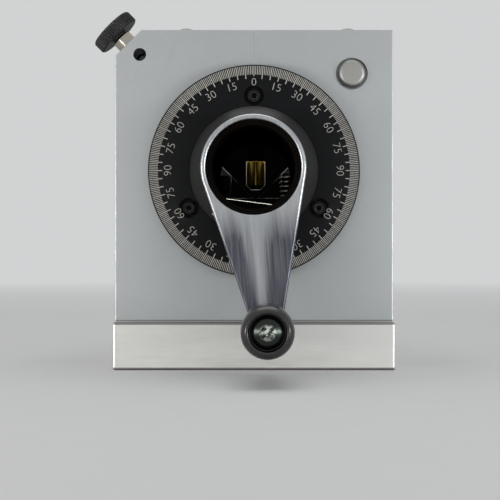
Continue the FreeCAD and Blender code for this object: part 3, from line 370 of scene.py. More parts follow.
def prism(name, outline, low, high, place, holes=()):
    """An outline with holes, drawn out between two heights along the place's Z axis."""
    bm = bmesh.new()
    for loop in (outline, *holes):
        verts = [bm.verts.new((point[0], point[1], low)) for point in loop]
        for index, vert in enumerate(verts):
            bm.edges.new((vert, verts[(index + 1) % len(verts)]))
    bmesh.ops.triangle_fill(bm, use_beauty=True, edges=bm.edges[:])
    bmesh.ops.dissolve_limit(bm, angle_limit=0.01, verts=bm.verts, edges=bm.edges)
    grown = bmesh.ops.extrude_face_region(bm, geom=bm.faces[:])
    moved = [item for item in grown["geom"] if isinstance(item, bmesh.types.BMVert)]
    bmesh.ops.translate(bm, verts=moved, vec=(0, 0, high - low))
    return to_object(name, bm, place)


def box(name, low, high):
    outline = [(low[0], low[1]), (high[0], low[1]), (high[0], high[1]), (low[0], high[1])]
    return prism(name, outline, low[2], high[2], at(0, 0, 0))


def rod(radius, low, high, place, count=64):
    """A plain bar for cutting, round or with few sides."""
    return prism("cutter", circle(0, 0, radius, count), low, high, place)


def apply_modifiers(obj):
    bpy.context.view_layer.update()
    graph = bpy.context.evaluated_depsgraph_get()
    mesh = bpy.data.meshes.new_from_object(obj.evaluated_get(graph))
    obj.modifiers.clear()
    obj.data = mesh
    smooth_by_angle(mesh)


def bevel(obj, width, segments=2, angle=40):
    modifier = obj.modifiers.new("edges", "BEVEL")
    modifier.width = width * MM
    modifier.segments = segments
    modifier.limit_method = "ANGLE"
    modifier.angle_limit = math.radians(angle)
    apply_modifiers(obj)
    return obj


def drill(obj, *cutters):
    """Takes the cutters out of the object."""
    for cutter in cutters:
        modifier = obj.modifiers.new("cut", "BOOLEAN")
        modifier.object = cutter
        modifier.operation = "DIFFERENCE"
        modifier.solver = "EXACT"
    apply_modifiers(obj)
    for cutter in cutters:
        bpy.data.objects.remove(cutter)
    return obj


def join(first, *others):
    """Joins the meshes into the first object, in its own coordinates."""
    bpy.context.view_layer.update()
    bm = bmesh.new()
    bm.from_mesh(first.data)
    for other in others:
        mesh = other.data.copy()
        mesh.transform(first.matrix_world.inverted() @ other.matrix_world)
        bm.from_mesh(mesh)
        bpy.data.objects.remove(other)
    bm.to_mesh(first.data)
    bm.free()
    smooth_by_angle(first.data)
    return first


class CapScrew:
    """A socket head cap screw. A place's Z axis points out of the head, from its seat."""

    # The number of knurls, then shares of the head's radius or height and of the key's width
    KNURLS = 44
    KNURL_DEPTH = 0.04
    SIDE_HEIGHT = 0.82
    CROWN = 0.84
    CROWN_EDGE = 0.06
    SOCKET_FLOOR = 0.15
    LIP_DROP = 0.08
    MOUTH = 0.52
    MOUTH_WIDE = 0.66

    def __init__(self, head, height, key, shank, length):
        self.head = head
        self.height = height
        self.key = key
        self.shank = shank
        self.length = length

    def head_at(self, place, name):
        radius, height = self.head, self.height
        knurl_depth = radius * self.KNURL_DEPTH
        corners = [(0, 0), (radius, 0), (radius, height * self.SIDE_HEIGHT),
                   (radius * self.CROWN, height, radius * self.CROWN_EDGE), (0, height)]
        head = lathe(name, corners, place, self.KNURLS * 3, (self.KNURLS, knurl_depth, radius - knurl_depth))
        floor, lip = height * self.SOCKET_FLOOR, height - self.key * self.LIP_DROP
        above = height + PAST
        socket = rod(self.key / math.sqrt(3), floor, above, place, 6)
        mouth = lathe("mouth", [(0, lip), (self.key * self.MOUTH, lip), (self.key * self.MOUTH_WIDE, above),
                                (0, above)], place, 48)
        return drill(head, socket, mouth)

    def put_in(self, node, places, body="spindle"):
        """The screws at their places, as one piece that takes the CAD node's place."""
        pieces = []
        for place in places:
            pieces.append(self.head_at(place, node.replace("_screw", "_cap_screw")))
            pieces.append(rod(self.shank, -self.length, SEAT_GAP, place, 32))
        fit(join(*pieces), body, "black_oxide", [node])

    def holes(self, places, sunk=True):
        """Cutters for the shanks and, where the heads are sunk, for the heads."""
        cutters = [rod(self.shank + SEAT_GAP, -self.length - PAST, PAST, place, 32) for place in places]
        if sunk:
            cutters += [rod(self.head + HEAD_ROOM, 0, self.height + PAST, place, 48) for place in places]
        return cutters


dial_screw = CapScrew(2.6, 3, 2.3, 1.5, 4.5)
plate_screw = CapScrew(4.25, 5, 4, 2.5, 11)
bracket_screw = CapScrew(3.5, 4, 3, 2, 24)
vee_screw = CapScrew(3.5, 4, 3, 2, 32)
bridge_screw = CapScrew(3.5, 4, 3, 2, 12)
blade_screw = CapScrew(3.5, 2.5, 2.5, 2, 8)


def ring_places(count, radius, y, direction):
    """Places round the spindle's axis, the first at the top."""
    places = []
    for angle in around(count):
        x, z = AXIS_X + radius * math.sin(angle), AXIS_Z + radius * math.cos(angle)
        places.append(turned(at(x, y, z, direction), angle))
    return places


# Materials
class Nodes:
    """A short way to add and join a material's nodes."""

    def __init__(self, name):
        self.material = bpy.data.materials.new(name)
        self.material.use_nodes = True
        self.tree = self.material.node_tree
        self.shader = self.tree.nodes["Principled BSDF"]

    def add(self, kind, **settings):
        node = self.tree.nodes.new(kind)
        for name, value in settings.items():
            setattr(node, name, value)
        return node

    def link(self, source, target):
        self.tree.links.new(source, target)

    def feed(self, socket, value):
        if hasattr(value, "node"):
            self.link(value, socket)
        else:
            socket.default_value = value

    def put(self, name, value):
        """Gives one of the shader's inputs a constant or another node's output."""
        self.feed(self.shader.inputs[name], value)

    def math(self, operation, *values):
        node = self.add("ShaderNodeMath", operation=operation)
        for socket, value in zip(node.inputs, values):
            self.feed(socket, value)
        return node.outputs[0]

    def noise(self, vector, scale, detail=4.0, roughness=0.6):
        node = self.add("ShaderNodeTexNoise")
        self.feed(node.inputs["Vector"], vector)
        node.inputs["Scale"].default_value = scale
        node.inputs["Detail"].default_value = detail
        node.inputs["Roughness"].default_value = roughness
        return node.outputs["Fac"]

    def object_point(self, scale=(1, 1, 1)):
        source = self.add("ShaderNodeTexCoord").outputs["Object"]
        node = self.add("ShaderNodeVectorMath", operation="MULTIPLY")
        self.link(source, node.inputs[0])
        node.inputs[1].default_value = scale
        return node.outputs[0]

    def combine(self, *values):
        node = self.add("ShaderNodeCombineXYZ")
        for socket, value in zip(node.inputs, values):
            self.feed(socket, value)
        return node.outputs[0]

    def dot(self, vector, direction):
        node = self.add("ShaderNodeVectorMath", operation="DOT_PRODUCT")
        self.feed(node.inputs[0], vector)
        self.feed(node.inputs[1], direction)
        return node.outputs["Value"]

    def radius(self):
        """The distance from the piece's own axis, and the height along it."""
        parts = self.add("ShaderNodeSeparateXYZ")
        self.link(self.object_point(), parts.inputs[0])
        x, y, height = parts.outputs
        square = self.math("ADD", self.math("MULTIPLY", x, x), self.math("MULTIPLY", y, y))
        return self.math("SQRT", square), height

    def ring_point(self):
        """A point that only changes outward and along the axis, for turning marks."""
        out, height = self.radius()
        return self.combine(out, 0.0, height)

    def blend(self, factor, first, second):
        node = self.add("ShaderNodeMix", data_type="RGBA")
        self.feed(node.inputs[0], factor)
        self.feed(node.inputs[6], first)
        self.feed(node.inputs[7], second)
        return node.outputs[2]

    def spread(self, value, low, high, start=0.3, end=0.7):
        """The value from start to end as a value from low to high."""
        node = self.add("ShaderNodeMapRange")
        self.feed(node.inputs[0], value)
        for index, part in enumerate((start, end, low, high), start=1):
            node.inputs[index].default_value = part
        return node.outputs[0]

    def edge_mask(self, radius):
        """White on edges and black on open faces."""
        soft = self.add("ShaderNodeBevel", samples=6)
        soft.inputs["Radius"].default_value = radius * MM
        plain = self.add("ShaderNodeNewGeometry").outputs["Normal"]
        return self.spread(self.dot(soft.outputs[0], plain), 1.0, 0.0, 0.86, 0.995)

    def bump(self, height, depth):
        node = self.add("ShaderNodeBump")
        node.inputs["Strength"].default_value = 0.6
        node.inputs["Distance"].default_value = depth * MM
        self.link(height, node.inputs["Height"])
        self.put("Normal", node.outputs[0])


def shade(color, factor):
    return (*(min(1.0, part * factor) for part in color), 1)


def metal(name, color, roughness, grain=(1, 1, 1), turning=False, scale=900, depth=0.006, tone=0.05,
          edge_wear_and_light=0.6, smudge=0.1, anisotropy=0.0, worn_lit_edge=1.35):
    """A metal with machining marks, faint smudges, and edges whose tone is wear and painted light: a painted
    highlight where they are brighter, painted shade where darker.
    """
    n = Nodes(name)
    marks = n.noise(n.ring_point() if turning else n.object_point(grain), scale, 5, 0.65)
    cloud = n.noise(n.object_point(), 28, 3, 0.55)
    fine = n.noise(n.object_point(), 240, 4, 0.7)
    edge = n.math("MULTIPLY", n.edge_mask(0.35), edge_wear_and_light)
    cut = n.blend(n.spread(marks, 0, 1), shade(color, 1 - tone), shade(color, 1 + tone))
    handled = n.blend(n.spread(cloud, 0, smudge * 2.5, 0.4, 0.75), cut, shade(color, 0.74))
    n.put("Base Color", n.blend(edge, handled, shade(color, worn_lit_edge)))
    grainy = n.math("ADD", n.spread(fine, -0.04, 0.04), n.spread(marks, -0.04, 0.04))
    rough = n.math("ADD", n.spread(cloud, roughness - smudge / 2, roughness + smudge / 2), grainy)
    n.put("Roughness", n.math("SUBTRACT", rough, n.math("MULTIPLY", edge, 0.12)))
    n.put("Metallic", 1.0)
    n.put("Anisotropic", anisotropy)
    if anisotropy:
        tangent = n.add("ShaderNodeTangent", direction_type="RADIAL", axis="Z")
        n.put("Tangent", tangent.outputs[0])
    n.bump(marks, depth)
    return n.material


def rubbed_arm(name, color):
    """Aluminium brushed along the arm, with painted reflections: light by the hub, then a painted bright band
    between two painted dark ones.
    """
    n = Nodes(name)
    point = n.object_point()
    along = n.dot(point, (math.sin(crank_tilt), -math.cos(crank_tilt), 0))
    across = n.dot(point, (math.cos(crank_tilt), math.sin(crank_tilt), 0))
    slope = (CRANK_HUB - CRANK_END) / to_handle.length
    half_width = n.math("SUBTRACT", CRANK_HUB * MM, n.math("MULTIPLY", along, slope))
    share = n.math("DIVIDE", across, half_width)

    def drawn_out(fineness, stretch, detail):
        """Noise drawn out along the arm."""
        drawn = n.combine(n.math("MULTIPLY", across, fineness), n.math("MULTIPLY", along, stretch), 0.0)
        return n.noise(drawn, 1, detail, 0.65)

    streaks, bands, nicks = drawn_out(1800, 45, 5), drawn_out(260, 12, 3), drawn_out(700, 320, 3)
    # Painted reflections: a bright band near the middle of the arm, and dark bands toward its sides below the
    # hub.
    highlight_offset, wobble = 0.17, n.math("ADD", n.spread(bands, -0.2, 0.2), n.spread(streaks, -0.12, 0.12))
    away = n.math("ADD", n.math("ABSOLUTE", n.math("ADD", share, highlight_offset)), wobble)
    lowered = n.math("ADD", along, n.spread(bands, -4 * MM, 4 * MM))
    light_end, dark_start = CRANK_HUB * MM * 0.8, CRANK_HUB * MM * 1.4
    below_hub = n.spread(lowered, 0, 1, light_end, dark_start)
    painted_dark = n.math("MULTIPLY", n.spread(away, 0, 1, 0.08, 0.42), below_hub)
    plain = n.blend(n.spread(streaks, 0, 1), shade(color, 0.86), shade(color, 1.06))
    grey = [part * share for part, share in zip(color, (0.23, 0.23, 0.265))]
    reflected_grey = n.blend(n.spread(streaks, 0, 1), shade(grey, 0.6), shade(grey, 1.7))
    painted_bands = n.blend(painted_dark, plain, reflected_grey)
    nicked = n.blend(n.spread(nicks, 0, 0.7, 0.7, 0.76), painted_bands, shade(color, 1.5))
    # Painted highlight along the arm's edges.
    edge = n.math("MULTIPLY", n.edge_mask(0.5), 0.85)
    n.put("Base Color", n.blend(edge, nicked, shade(color, 1.4)))
    n.put("Roughness", n.math("ADD", n.spread(streaks, 0.26, 0.4), n.spread(bands, -0.04, 0.06)))
    n.put("Metallic", 1.0)
    n.bump(streaks, 0.012)
    return n.material


def plated_head(name, painted_dark, painted_bright):
    """A plated pan head with a painted reflection: dark toward its rim and bright, with a crinkled look,
    round its recess.
    """
    n = Nodes(name)
    out, _ = n.radius()
    crinkle = n.noise(n.object_point(), 900, 3, 0.65)
    middle = n.spread(out, 1, 0, 1.0 * MM, 3.0 * MM)
    highlight_spots = n.math("MULTIPLY", middle, n.spread(crinkle, 0.04, 1, 0.42, 0.56))
    n.put("Base Color", n.blend(highlight_spots, (*painted_dark, 1), (*painted_bright, 1)))
    n.put("Roughness", n.spread(crinkle, 0.14, 0.3))
    n.put("Metallic", 1.0)
    n.bump(crinkle, 0.03)
    return n.material


def coating(name, color, roughness, scale=500, depth=0.006, edge_wear_and_light=0.3, edge_tone_worn_and_lit=(0.3, 0.3, 0.31), dust=0.03,
            coat=0.0, specular=0.5):
    """A dark finish or plastic with a fine texture, a little dust, and edges lightened for wear and a painted
    highlight.
    """
    n = Nodes(name)
    fine = n.noise(n.object_point(), scale, 5, 0.6)
    cloud = n.noise(n.object_point(), 60, 4, 0.6)
    edge = n.math("MULTIPLY", n.edge_mask(0.25), n.spread(cloud, 0.3 * edge_wear_and_light, edge_wear_and_light, 0.35, 0.65))
    plain = n.blend(n.spread(cloud, 0, 1), shade(color, 0.85), shade(color, 1.2))
    dusty = n.blend(n.spread(fine, 0, dust, 0.5, 0.8), plain, (0.4, 0.39, 0.37, 1))
    n.put("Base Color", n.blend(edge, dusty, (*edge_tone_worn_and_lit, 1)))
    grainy = n.spread(fine, -0.03, 0.05)
    n.put("Roughness", n.math("ADD", n.spread(cloud, roughness - 0.05, roughness + 0.05), grainy))
    n.put("Specular IOR Level", specular)
    n.put("Coat Weight", coat)
    n.put("Coat Roughness", 0.12)
    n.bump(fine, depth)
    return n.material


def bright_crests(name, painted_dark, painted_bright, radius):
    """A thread painted near black as in shade, whose crests, at the given radius, carry painted glints."""
    n = Nodes(name)
    out, _ = n.radius()
    fine = n.noise(n.object_point(), 600, 4, 0.6)
    crest_glint = n.math("MULTIPLY", n.spread(out, 0, 1, (radius - 0.3) * MM, (radius - 0.08) * MM),
                   n.spread(fine, 0.5, 1))
    n.put("Base Color", n.blend(crest_glint, (*painted_dark, 1), (*painted_bright, 1)))
    n.put("Roughness", n.spread(fine, 0.24, 0.36))
    n.put("Metallic", 1.0)
    n.bump(fine, 0.003)
    return n.material


def filled_marks(name, color):
    """The pale filling of engraved marks."""
    n = Nodes(name)
    fine = n.noise(n.object_point(), 700, 3, 0.6)
    n.put("Base Color", n.blend(n.spread(fine, 0, 1), shade(color, 0.82), shade(color, 1.05)))
    n.put("Roughness", n.spread(fine, 0.5, 0.7))
    return n.material


# In these looks the edges' tone is wear and painted light: brighter edges carry a painted highlight, and the
# base steel's darker edges are painted shade.
materials = {
    "ground_steel": metal("ground_steel", (0.43, 0.45, 0.453), 0.5, (1, 0.12, 1), scale=1100, depth=0.003,
                          edge_wear_and_light=0.9, smudge=0.05, tone=0.02, worn_lit_edge=1.7),
    "base_steel": metal("base_steel", (0.70, 0.70, 0.67), 0.46, (0.05, 1, 1), scale=1300, depth=0.004,
                        edge_wear_and_light=0.9, smudge=0.05, tone=0.035, worn_lit_edge=0.5),
    "turned_steel": metal("turned_steel", (0.06, 0.061, 0.063), 0.26, turning=True, scale=1800, depth=0.002,
                          edge_wear_and_light=0.8, smudge=0.06, anisotropy=0.8, worn_lit_edge=2.6),
    "hardened_steel": metal("hardened_steel", (0.36, 0.37, 0.385), 0.3, (0.1, 0.1, 1), scale=1200),
    "bearing_steel": metal("bearing_steel", (0.6, 0.61, 0.62), 0.15, turning=True, scale=1500, depth=0.002),
    "spacer_steel": metal("spacer_steel", (0.42, 0.42, 0.44), 0.35, turning=True, scale=1500, depth=0.004),
    "pin_steel": metal("pin_steel", (0.36, 0.36, 0.34), 0.45, turning=True, scale=1600, depth=0.002,
                       tone=0.03, smudge=0.05),
    "crank_aluminium": rubbed_arm("crank_aluminium", (0.46, 0.475, 0.485)),
    "bright_screw": plated_head("bright_screw", (0.036, 0.042, 0.038), (0.95, 1.0, 0.92)),
    "nickel": metal("nickel", (0.46, 0.43, 0.37), 0.14, turning=True, scale=1400, depth=0.003),
    "brass": metal("brass", (0.33, 0.22, 0.04), 0.2, turning=True, scale=1300, depth=0.002,
                   smudge=0.06, edge_wear_and_light=0.0),
    "bronze": metal("bronze", (0.36, 0.23, 0.11), 0.35, turning=True, scale=1300),
    "dial_black": coating("dial_black", (0.004, 0.0045, 0.005), 0.4, scale=900, depth=0.003, edge_wear_and_light=0.35,
                          edge_tone_worn_and_lit=(0.08, 0.08, 0.085), dust=0.004, specular=0.12),
    # The oxide's light edges are wear and a painted rim highlight.
    "black_oxide": coating("black_oxide", (0.009, 0.009, 0.0095), 0.42, scale=700, depth=0.003, edge_wear_and_light=1.0,
                           edge_tone_worn_and_lit=(0.3, 0.305, 0.3), dust=0.003, specular=0.1),
    "handle_plastic": coating("handle_plastic", (0.0105, 0.0103, 0.0105), 0.28, scale=350, depth=0.004,
                              edge_wear_and_light=0.2, edge_tone_worn_and_lit=(0.06, 0.06, 0.06), dust=0.02, coat=0.2),
}
# Dark looks of pieces whose slot names a plain steel; of these, the bore look and the dark steel are painted
# shade.
hub_black = coating("hub_black", (0.006, 0.006, 0.0065), 0.3, scale=1500, depth=0.001, edge_wear_and_light=0.6,
                    edge_tone_worn_and_lit=(0.16, 0.165, 0.17), dust=0.0, specular=0.4)
# Near black and matt: painted shade for the spindle's bore and the clamp screw inside it.
bore_painted_shade = coating("bore_painted_shade", (0.0035, 0.0028, 0.0022), 0.88, scale=700, depth=0.002, edge_wear_and_light=0.5,
                     edge_tone_worn_and_lit=(0.06, 0.064, 0.06), dust=0.0, specular=0.0)
# Near-black steel: painted shade on the guide post, carriage, V block and blade faces.
steel_painted_shade = metal("steel_painted_shade", (0.0045, 0.0045, 0.0047), 0.3, scale=1400, depth=0.003, smudge=0.05,
                   edge_wear_and_light=0.2, worn_lit_edge=2)
# The lead screw: painted shade on the thread and painted glints on its crests.
lead_thread_painted_glints = bright_crests("lead_thread_painted_glints", (0.008, 0.008, 0.008), (0.75, 0.72, 0.62), lead.size.x / 2)
# Painted highlight on the blade's broken edges.
blade_edge = metal("blade_edge", (0.85, 0.82, 0.68), 0.25, scale=1400, depth=0.002, smudge=0.03)
# Painted shade on the base's chamfers.
base_edge = metal("base_edge", (0.27, 0.26, 0.25), 0.5, (0.05, 1, 1), scale=1300, depth=0.004)
mark_paint = filled_marks("mark_paint", (0.46, 0.45, 0.41))


def fit(obj, body, slot, replaces=(), look=None):
    """Paints the piece, evens its shading, and has it ride on its body in place of the CAD nodes."""
    obj.data.materials.clear()
    obj.data.materials.append(look or materials[slot])
    obj.modifiers.new("even", "WEIGHTED_NORMAL").keep_sharp = True
    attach(obj, body)
    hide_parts(*replaces)
    return obj


def paint_facets(obj, look):
    """Paints the broken edges, whose faces lean to the piece's own Z axis, in a look of painted light:
    painted shade on the base, a painted highlight on the blade.
    """
    least_lean, most_lean = 0.3, 0.95
    obj.data.materials.append(look)
    for face in obj.data.polygons:
        if least_lean < abs(face.normal.z) < most_lean:
            face.material_index = 1


def paint_cad_nodes():
    """The inner pieces are shown as they are, in their slot's look. The stop pad gets the bore's near-black
    look.
    """
    slot_of = {part["node"]: part["material_slot"] for part in frame["record"]["subparts"]}
    for node, obj in frame["nodes"].items():
        obj.data.materials.clear()
        obj.data.materials.append(bore_painted_shade if node == "stop_pad" else materials[slot_of[node]])


# Base plate and housing block
def corner_places(screws, radius, z):
    """The four corners of a group of equal round pieces."""
    xs = (screws.low.x + radius, screws.high.x - radius)
    ys = (screws.low.y + radius, screws.high.y - radius)
    return [at(x, y, z) for x in xs for y in ys]


def dowel_places():
    pins = Extent("dowel_pins")
    return [at(x, pins.middle.y, 0) for x in (pins.low.x + DOWEL, pins.high.x - DOWEL)]


def make_base():
    body = bevel(box("base_plate_ground", base.low, base.high), BASE_EDGE)
    screws = Extent("base_screws")
    bottom, top = -PAST, base.high.z + PAST
    cutters = []
    for place in corner_places(screws, BASE_HEAD, 0):
        cutters.append(rod(BASE_SHANK + SEAT_GAP, bottom, top, place, 32))
        cutters.append(rod(BASE_HEAD + HEAD_ROOM, bottom, BASE_HEAD_SINK, place, 48))
    cutters += [rod(DOWEL + SEAT_GAP, bottom, top, place, 32) for place in dowel_places()]
    fit(drill(body, *cutters), "frame", "base_steel", ["base_plate"])
    # The base's chamfers are painted darker: painted shade.
    paint_facets(body, base_edge)


def make_housing():
    left, right = block.low.x, block.high.x
    floor, top = block.low.z, block.high.z
    outline = [(left, floor), (right, floor), (right, top), (left + BLOCK_CORNER, top),
               (left, top - BLOCK_CORNER)]
    # Heights along -Y, so the crank side is the higher one
    rear, front = -block.low.y, -block.high.y
    body = bevel(prism("housing_ground", outline, front, rear, at(0, 0, 0, "-y")), BLOCK_EDGE)
    cutters = bearing_seat_cutters(front, rear)
    pin_place = at(pin.middle.x, 0, pin.middle.z, "-y")
    cutters.append(rod(pin.size.x / 2 + SEAT_GAP, front - PAST, rear + PAST, pin_place))
    cutters.append(rod(PIN_MOUTH, rear - PIN_MOUTH_DEPTH, rear + PAST, pin_place))
    cutters.append(rod(STOP_ROD, front - PAST, rear + PAST, at(stop_rod.x, 0, stop_rod.z, "-y"), 48))
    cutters.append(rod(STOP_SCREW + SEAT_GAP, 0, BLOCK_CORNER * 2, stop_screw_place(), 48))
    cutters += top_cutters() + under_cutters()
    half = LINE_WIDTH / 2
    line_low = (AXIS_X - half, block.low.y - PAST, top - LINE_LENGTH)
    line_high = (AXIS_X + half, block.low.y + LINE_DEPTH, top + PAST)
    cutters.append(box("line", line_low, line_high))
    fit(drill(body, *cutters), "frame", "ground_steel", ["housing_block"])


def bearing_seat_cutters(front, rear):
    lip = front + FRONT_LIP_WIDTH
    return [
        rod(COVER_SEAT + SEAT_GAP, rear - COVER_DEPTH, rear + PAST, on_axis("-y"), 160),
        rod(BEARING + SEAT_GAP, lip, rear - COVER_DEPTH + PAST, on_axis("-y"), 160),
        rod(FRONT_LIP, front - PAST, lip + PAST, on_axis("-y"), 128),
    ]


def top_cutters():
    """The threads of the two plugs, the detent's bore and the oil hole."""
    cutters = []
    for node, radius, low in (("detent_plug", DETENT_BORE, pin.middle.z), ("oil_plug", OIL_HOLE, AXIS_Z)):
        plug = Extent(node)
        place = standing(plug)
        cutters.append(rod(PLUG_THREAD + SEAT_GAP, plug.low.z, block.high.z + PAST, place, 32))
        cutters.append(rod(radius, low, plug.low.z + PAST, place, 32))
    return cutters


def under_cutters():
    screws, pins = Extent("base_screws"), Extent("dowel_pins")
    floor = block.low.z - PAST
    cutters = [rod(BASE_SHANK + SEAT_GAP, floor, screws.high.z + SEAT_GAP, place, 32)
               for place in corner_places(screws, BASE_HEAD, 0)]
    cutters += [rod(DOWEL + SEAT_GAP, floor, pins.high.z + SEAT_GAP, place, 32) for place in dowel_places()]
    return cutters


def make_plugs():
    for node in ("detent_plug", "oil_plug"):
        plug = Extent(node)
        radius, seat = plug.size.x / 2, block.high.z
        rim = plug.high.z - PLUG_DOME
        corners = [(0, plug.low.z), (PLUG_THREAD, plug.low.z), (PLUG_THREAD, seat), (radius, seat, FINE_EDGE)]
        body = lathe(f"{node}_domed", corners + dome(radius, rim, PLUG_DOME), standing(plug), 64)
        fit(body, "frame", "nickel", [node])


# Dial
def dial_surface(radius):
    """Where the dial's face lies: flat inside, and falling away outside."""
    slope = DIAL_FALL / (dial.size.x / 2 - DIAL_FLAT)
    return dial.low.y + max(0.0, radius - DIAL_FLAT) * slope


def dial_screw_places():
    return ring_places(3, DIAL_SCREW_CIRCLE, dial.low.y + DIAL_SINK_DEPTH, "-y")


def make_dial():
    face, back, radius = dial.low.y, dial.high.y, dial.size.x / 2
    flange, inner, rebate = face + DIAL_WEB, HUB_CONE + SEAT_GAP, FLANGE + SEAT_GAP
    body = lathe("dial_ring", [
        (inner, face, FINE_EDGE), (DIAL_FLAT, face), (radius, face + DIAL_FALL, RIM_EDGE),
        (radius, back, SOFT_EDGE), (rebate, back), (rebate, flange), (inner, flange),
    ], on_axis(), 192)
    places = dial_screw_places()
    sinks = [rod(DIAL_SINK, 0, DIAL_SINK_DEPTH + PAST, place) for place in places]
    fit(drill(body, *sinks, *dial_screw.holes(places, sunk=False)), "spindle", "dial_black", ["dial_plate"])
    dial_screw.put_in("dial_screws", places)


def make_dial_lines():
    """A line for each degree, and a longer one for each five."""
    rim_gap, lift = 0.45, 0.02
    fine_start, coarse_start, zero_start = 36.2, 34.6, 35.6
    fine_half, coarse_half = 0.13, 0.16
    outer = dial.size.x / 2 - rim_gap
    bm = bmesh.new()
    for degree, angle in enumerate(around(360)):
        coarse = degree % 5 == 0
        half_width = coarse_half if coarse else fine_half
        inner = coarse_start if coarse else fine_start
        if degree == 0:
            inner = zero_start
        out = Vector((math.sin(angle), 0, math.cos(angle)))
        side = Vector((math.cos(angle), 0, -math.sin(angle))) * half_width
        corners = []
        for radius, sign in ((inner, -1), (inner, 1), (outer, 1), (outer, -1)):
            point = out * radius + side * sign
            corners.append(bm.verts.new((AXIS_X + point.x, dial_surface(radius) - lift, AXIS_Z + point.z)))
        bm.faces.new(corners)
    fit(to_object("dial_lines", bm), "spindle", "dial_black", look=mark_paint)


def number_mesh(value, height):
    """A number as a flat mesh in millimetres, centred on its origin."""
    curve = bpy.data.curves.new("number", "FONT")
    curve.body = str(value)
    curve.size = height
    curve.align_x = "CENTER"
    curve.align_y = "CENTER"
    curve.resolution_u = 3
    thinning = 0.02
    curve.offset = -height * thinning
    text = new_object("number", curve)
    bpy.context.view_layer.update()
    mesh = bpy.data.meshes.new_from_object(text.evaluated_get(bpy.context.evaluated_depsgraph_get()))
    bpy.data.objects.remove(text)
    return mesh


def make_dial_numbers():
    """0 to 90 and back again, every 15 degrees, with their tops outward."""
    height, lift = 4.3, 0.03
    middle, zero_middle = 32.3, 33.2
    bm = bmesh.new()
    for step, angle in enumerate(around(24)):
        value = 90 - abs(90 - step * 15 % 180)
        mesh = number_mesh(value, height)
        figure = bmesh.new()
        figure.from_mesh(mesh)
        out = zero_middle if step == 0 else middle
        geometry = figure.verts[:] + figure.edges[:] + figure.faces[:]
        bmesh.ops.bisect_plane(figure, geom=geometry, plane_co=(0, DIAL_FLAT - out, 0), plane_no=(0, 1, 0))
        for vert in figure.verts:
            across, up = vert.co.x, vert.co.y + out
            x = up * math.sin(angle) + across * math.cos(angle)
            z = up * math.cos(angle) - across * math.sin(angle)
            vert.co = (AXIS_X + x, dial_surface(math.hypot(across, up)) - lift, AXIS_Z + z)
        figure.to_mesh(mesh)
        figure.free()
        bm.from_mesh(mesh)
    fit(to_object("dial_numbers", bm), "spindle", "dial_black", look=mark_paint)


def make_hub():
    face, flange = dial.low.y, dial.low.y + DIAL_WEB
    back, rear, bore = hub.high.y, hub.low.y, NECK + SEAT_GAP
    body = lathe("dial_hub_turned", [
        (bore, rear), (HUB_NECK, rear), (HUB_NECK, face - (HUB_CONE - HUB_NECK), HUB_FILLET),
        (HUB_CONE, face, RIM_EDGE), (HUB_CONE, flange), (FLANGE, flange), (FLANGE, back), (bore, back),
    ], on_axis(), 192)
    drill(body, *dial_screw.holes(dial_screw_places(), sunk=False))
    fit(body, "spindle", "turned_steel", ["dial_hub"], hub_black)


def plate_screw_places():
    return ring_places(4, PLATE_SCREW_CIRCLE, plate.high.y - plate_screw.height, "y")


def make_spindle():
    rear, front = tube.low.y, tube.high.y
    flange_front = plate.low.y
    flange_rear = flange_front - FLANGE_WIDTH
    lip, edge = block.high.y - FRONT_LIP_WIDTH, SPINDLE_EDGE
    body = lathe("spindle_turned", [
        (BORE + edge, rear), (NECK - edge, rear), (NECK, rear + edge), (NECK, hub.high.y),
        (JOURNAL, hub.high.y), (JOURNAL, lip), (SHOULDER, lip), (SHOULDER, flange_rear),
        (FLANGE, flange_rear, FLANGE_EDGE), (FLANGE, flange_front, SOFT_EDGE), (JOURNAL, flange_front),
        (JOURNAL, front - edge, SLIGHT_EDGE),
        (JOURNAL - edge, front), (BORE, front), (BORE, rear + edge),
    ], on_axis(), 192)
    drill(body, *plate_screw.holes(plate_screw_places(), sunk=False))
    # The spindle is painted near black: painted shade in its bore.
    fit(body, "spindle", "turned_steel", ["spindle"], bore_painted_shade)


# Crank and handle
def crank_outline():
    """Round the handle's boss and round the hub, with straight sides between them."""
    lean = math.asin((CRANK_HUB - CRANK_END) / to_handle.length)
    down = math.atan2(to_handle.y, to_handle.x)
    side = math.pi / 2 - lean
    # The angle from the arm's line at which a side meets the boss
    meet = side + math.acos(CRANK_END / CRANK_BOSS)
    boss = arc_points(to_handle.x, to_handle.y, CRANK_BOSS, down - meet, 2 * meet, 64)
    return boss + arc_points(0, 0, CRANK_HUB, down + side, 2 * (math.pi - side), 96)


def make_crank():
    rear, front = -crank.low.y, -crank.high.y
    place, bore = on_axis("-y"), NECK + SEAT_GAP
    seat = rear - CRANK_THICKNESS
    arm = prism("crank_arm_rubbed", crank_outline(), seat, rear, place, [circle(0, 0, bore, 128)])
    bevel(arm, CRANK_EDGE, 4, 50)
    # The set screw's hole runs along a radius beside the arm's root.
    turn = -math.pi / 2 + crank_tilt - math.radians(SET_SCREW_TURN)
    along = turned(place @ at(0, 0, rear - CRANK_THICKNESS / 2), turn) @ TURNS["x"]
    handle_place = at(grip.middle.x, 0, grip.middle.z, "-y")
    drill(arm, rod(SET_SCREW + SEAT_GAP, NECK - PAST, CRANK_HUB * 2, along, 32),
          rod(HANDLE_SHANK + SEAT_GAP, seat - PAST, rear + PAST, handle_place, 32))
    overlap = 0.5
    boss = lathe("boss", [(bore, front), (CRANK_HUB, front, SOFT_EDGE), (CRANK_HUB, seat + overlap),
                          (bore, seat + overlap)], place, 128)
    fit(join(arm, boss), "spindle", "crank_aluminium", ["crank_arm"])
    make_set_screw(along, bore)


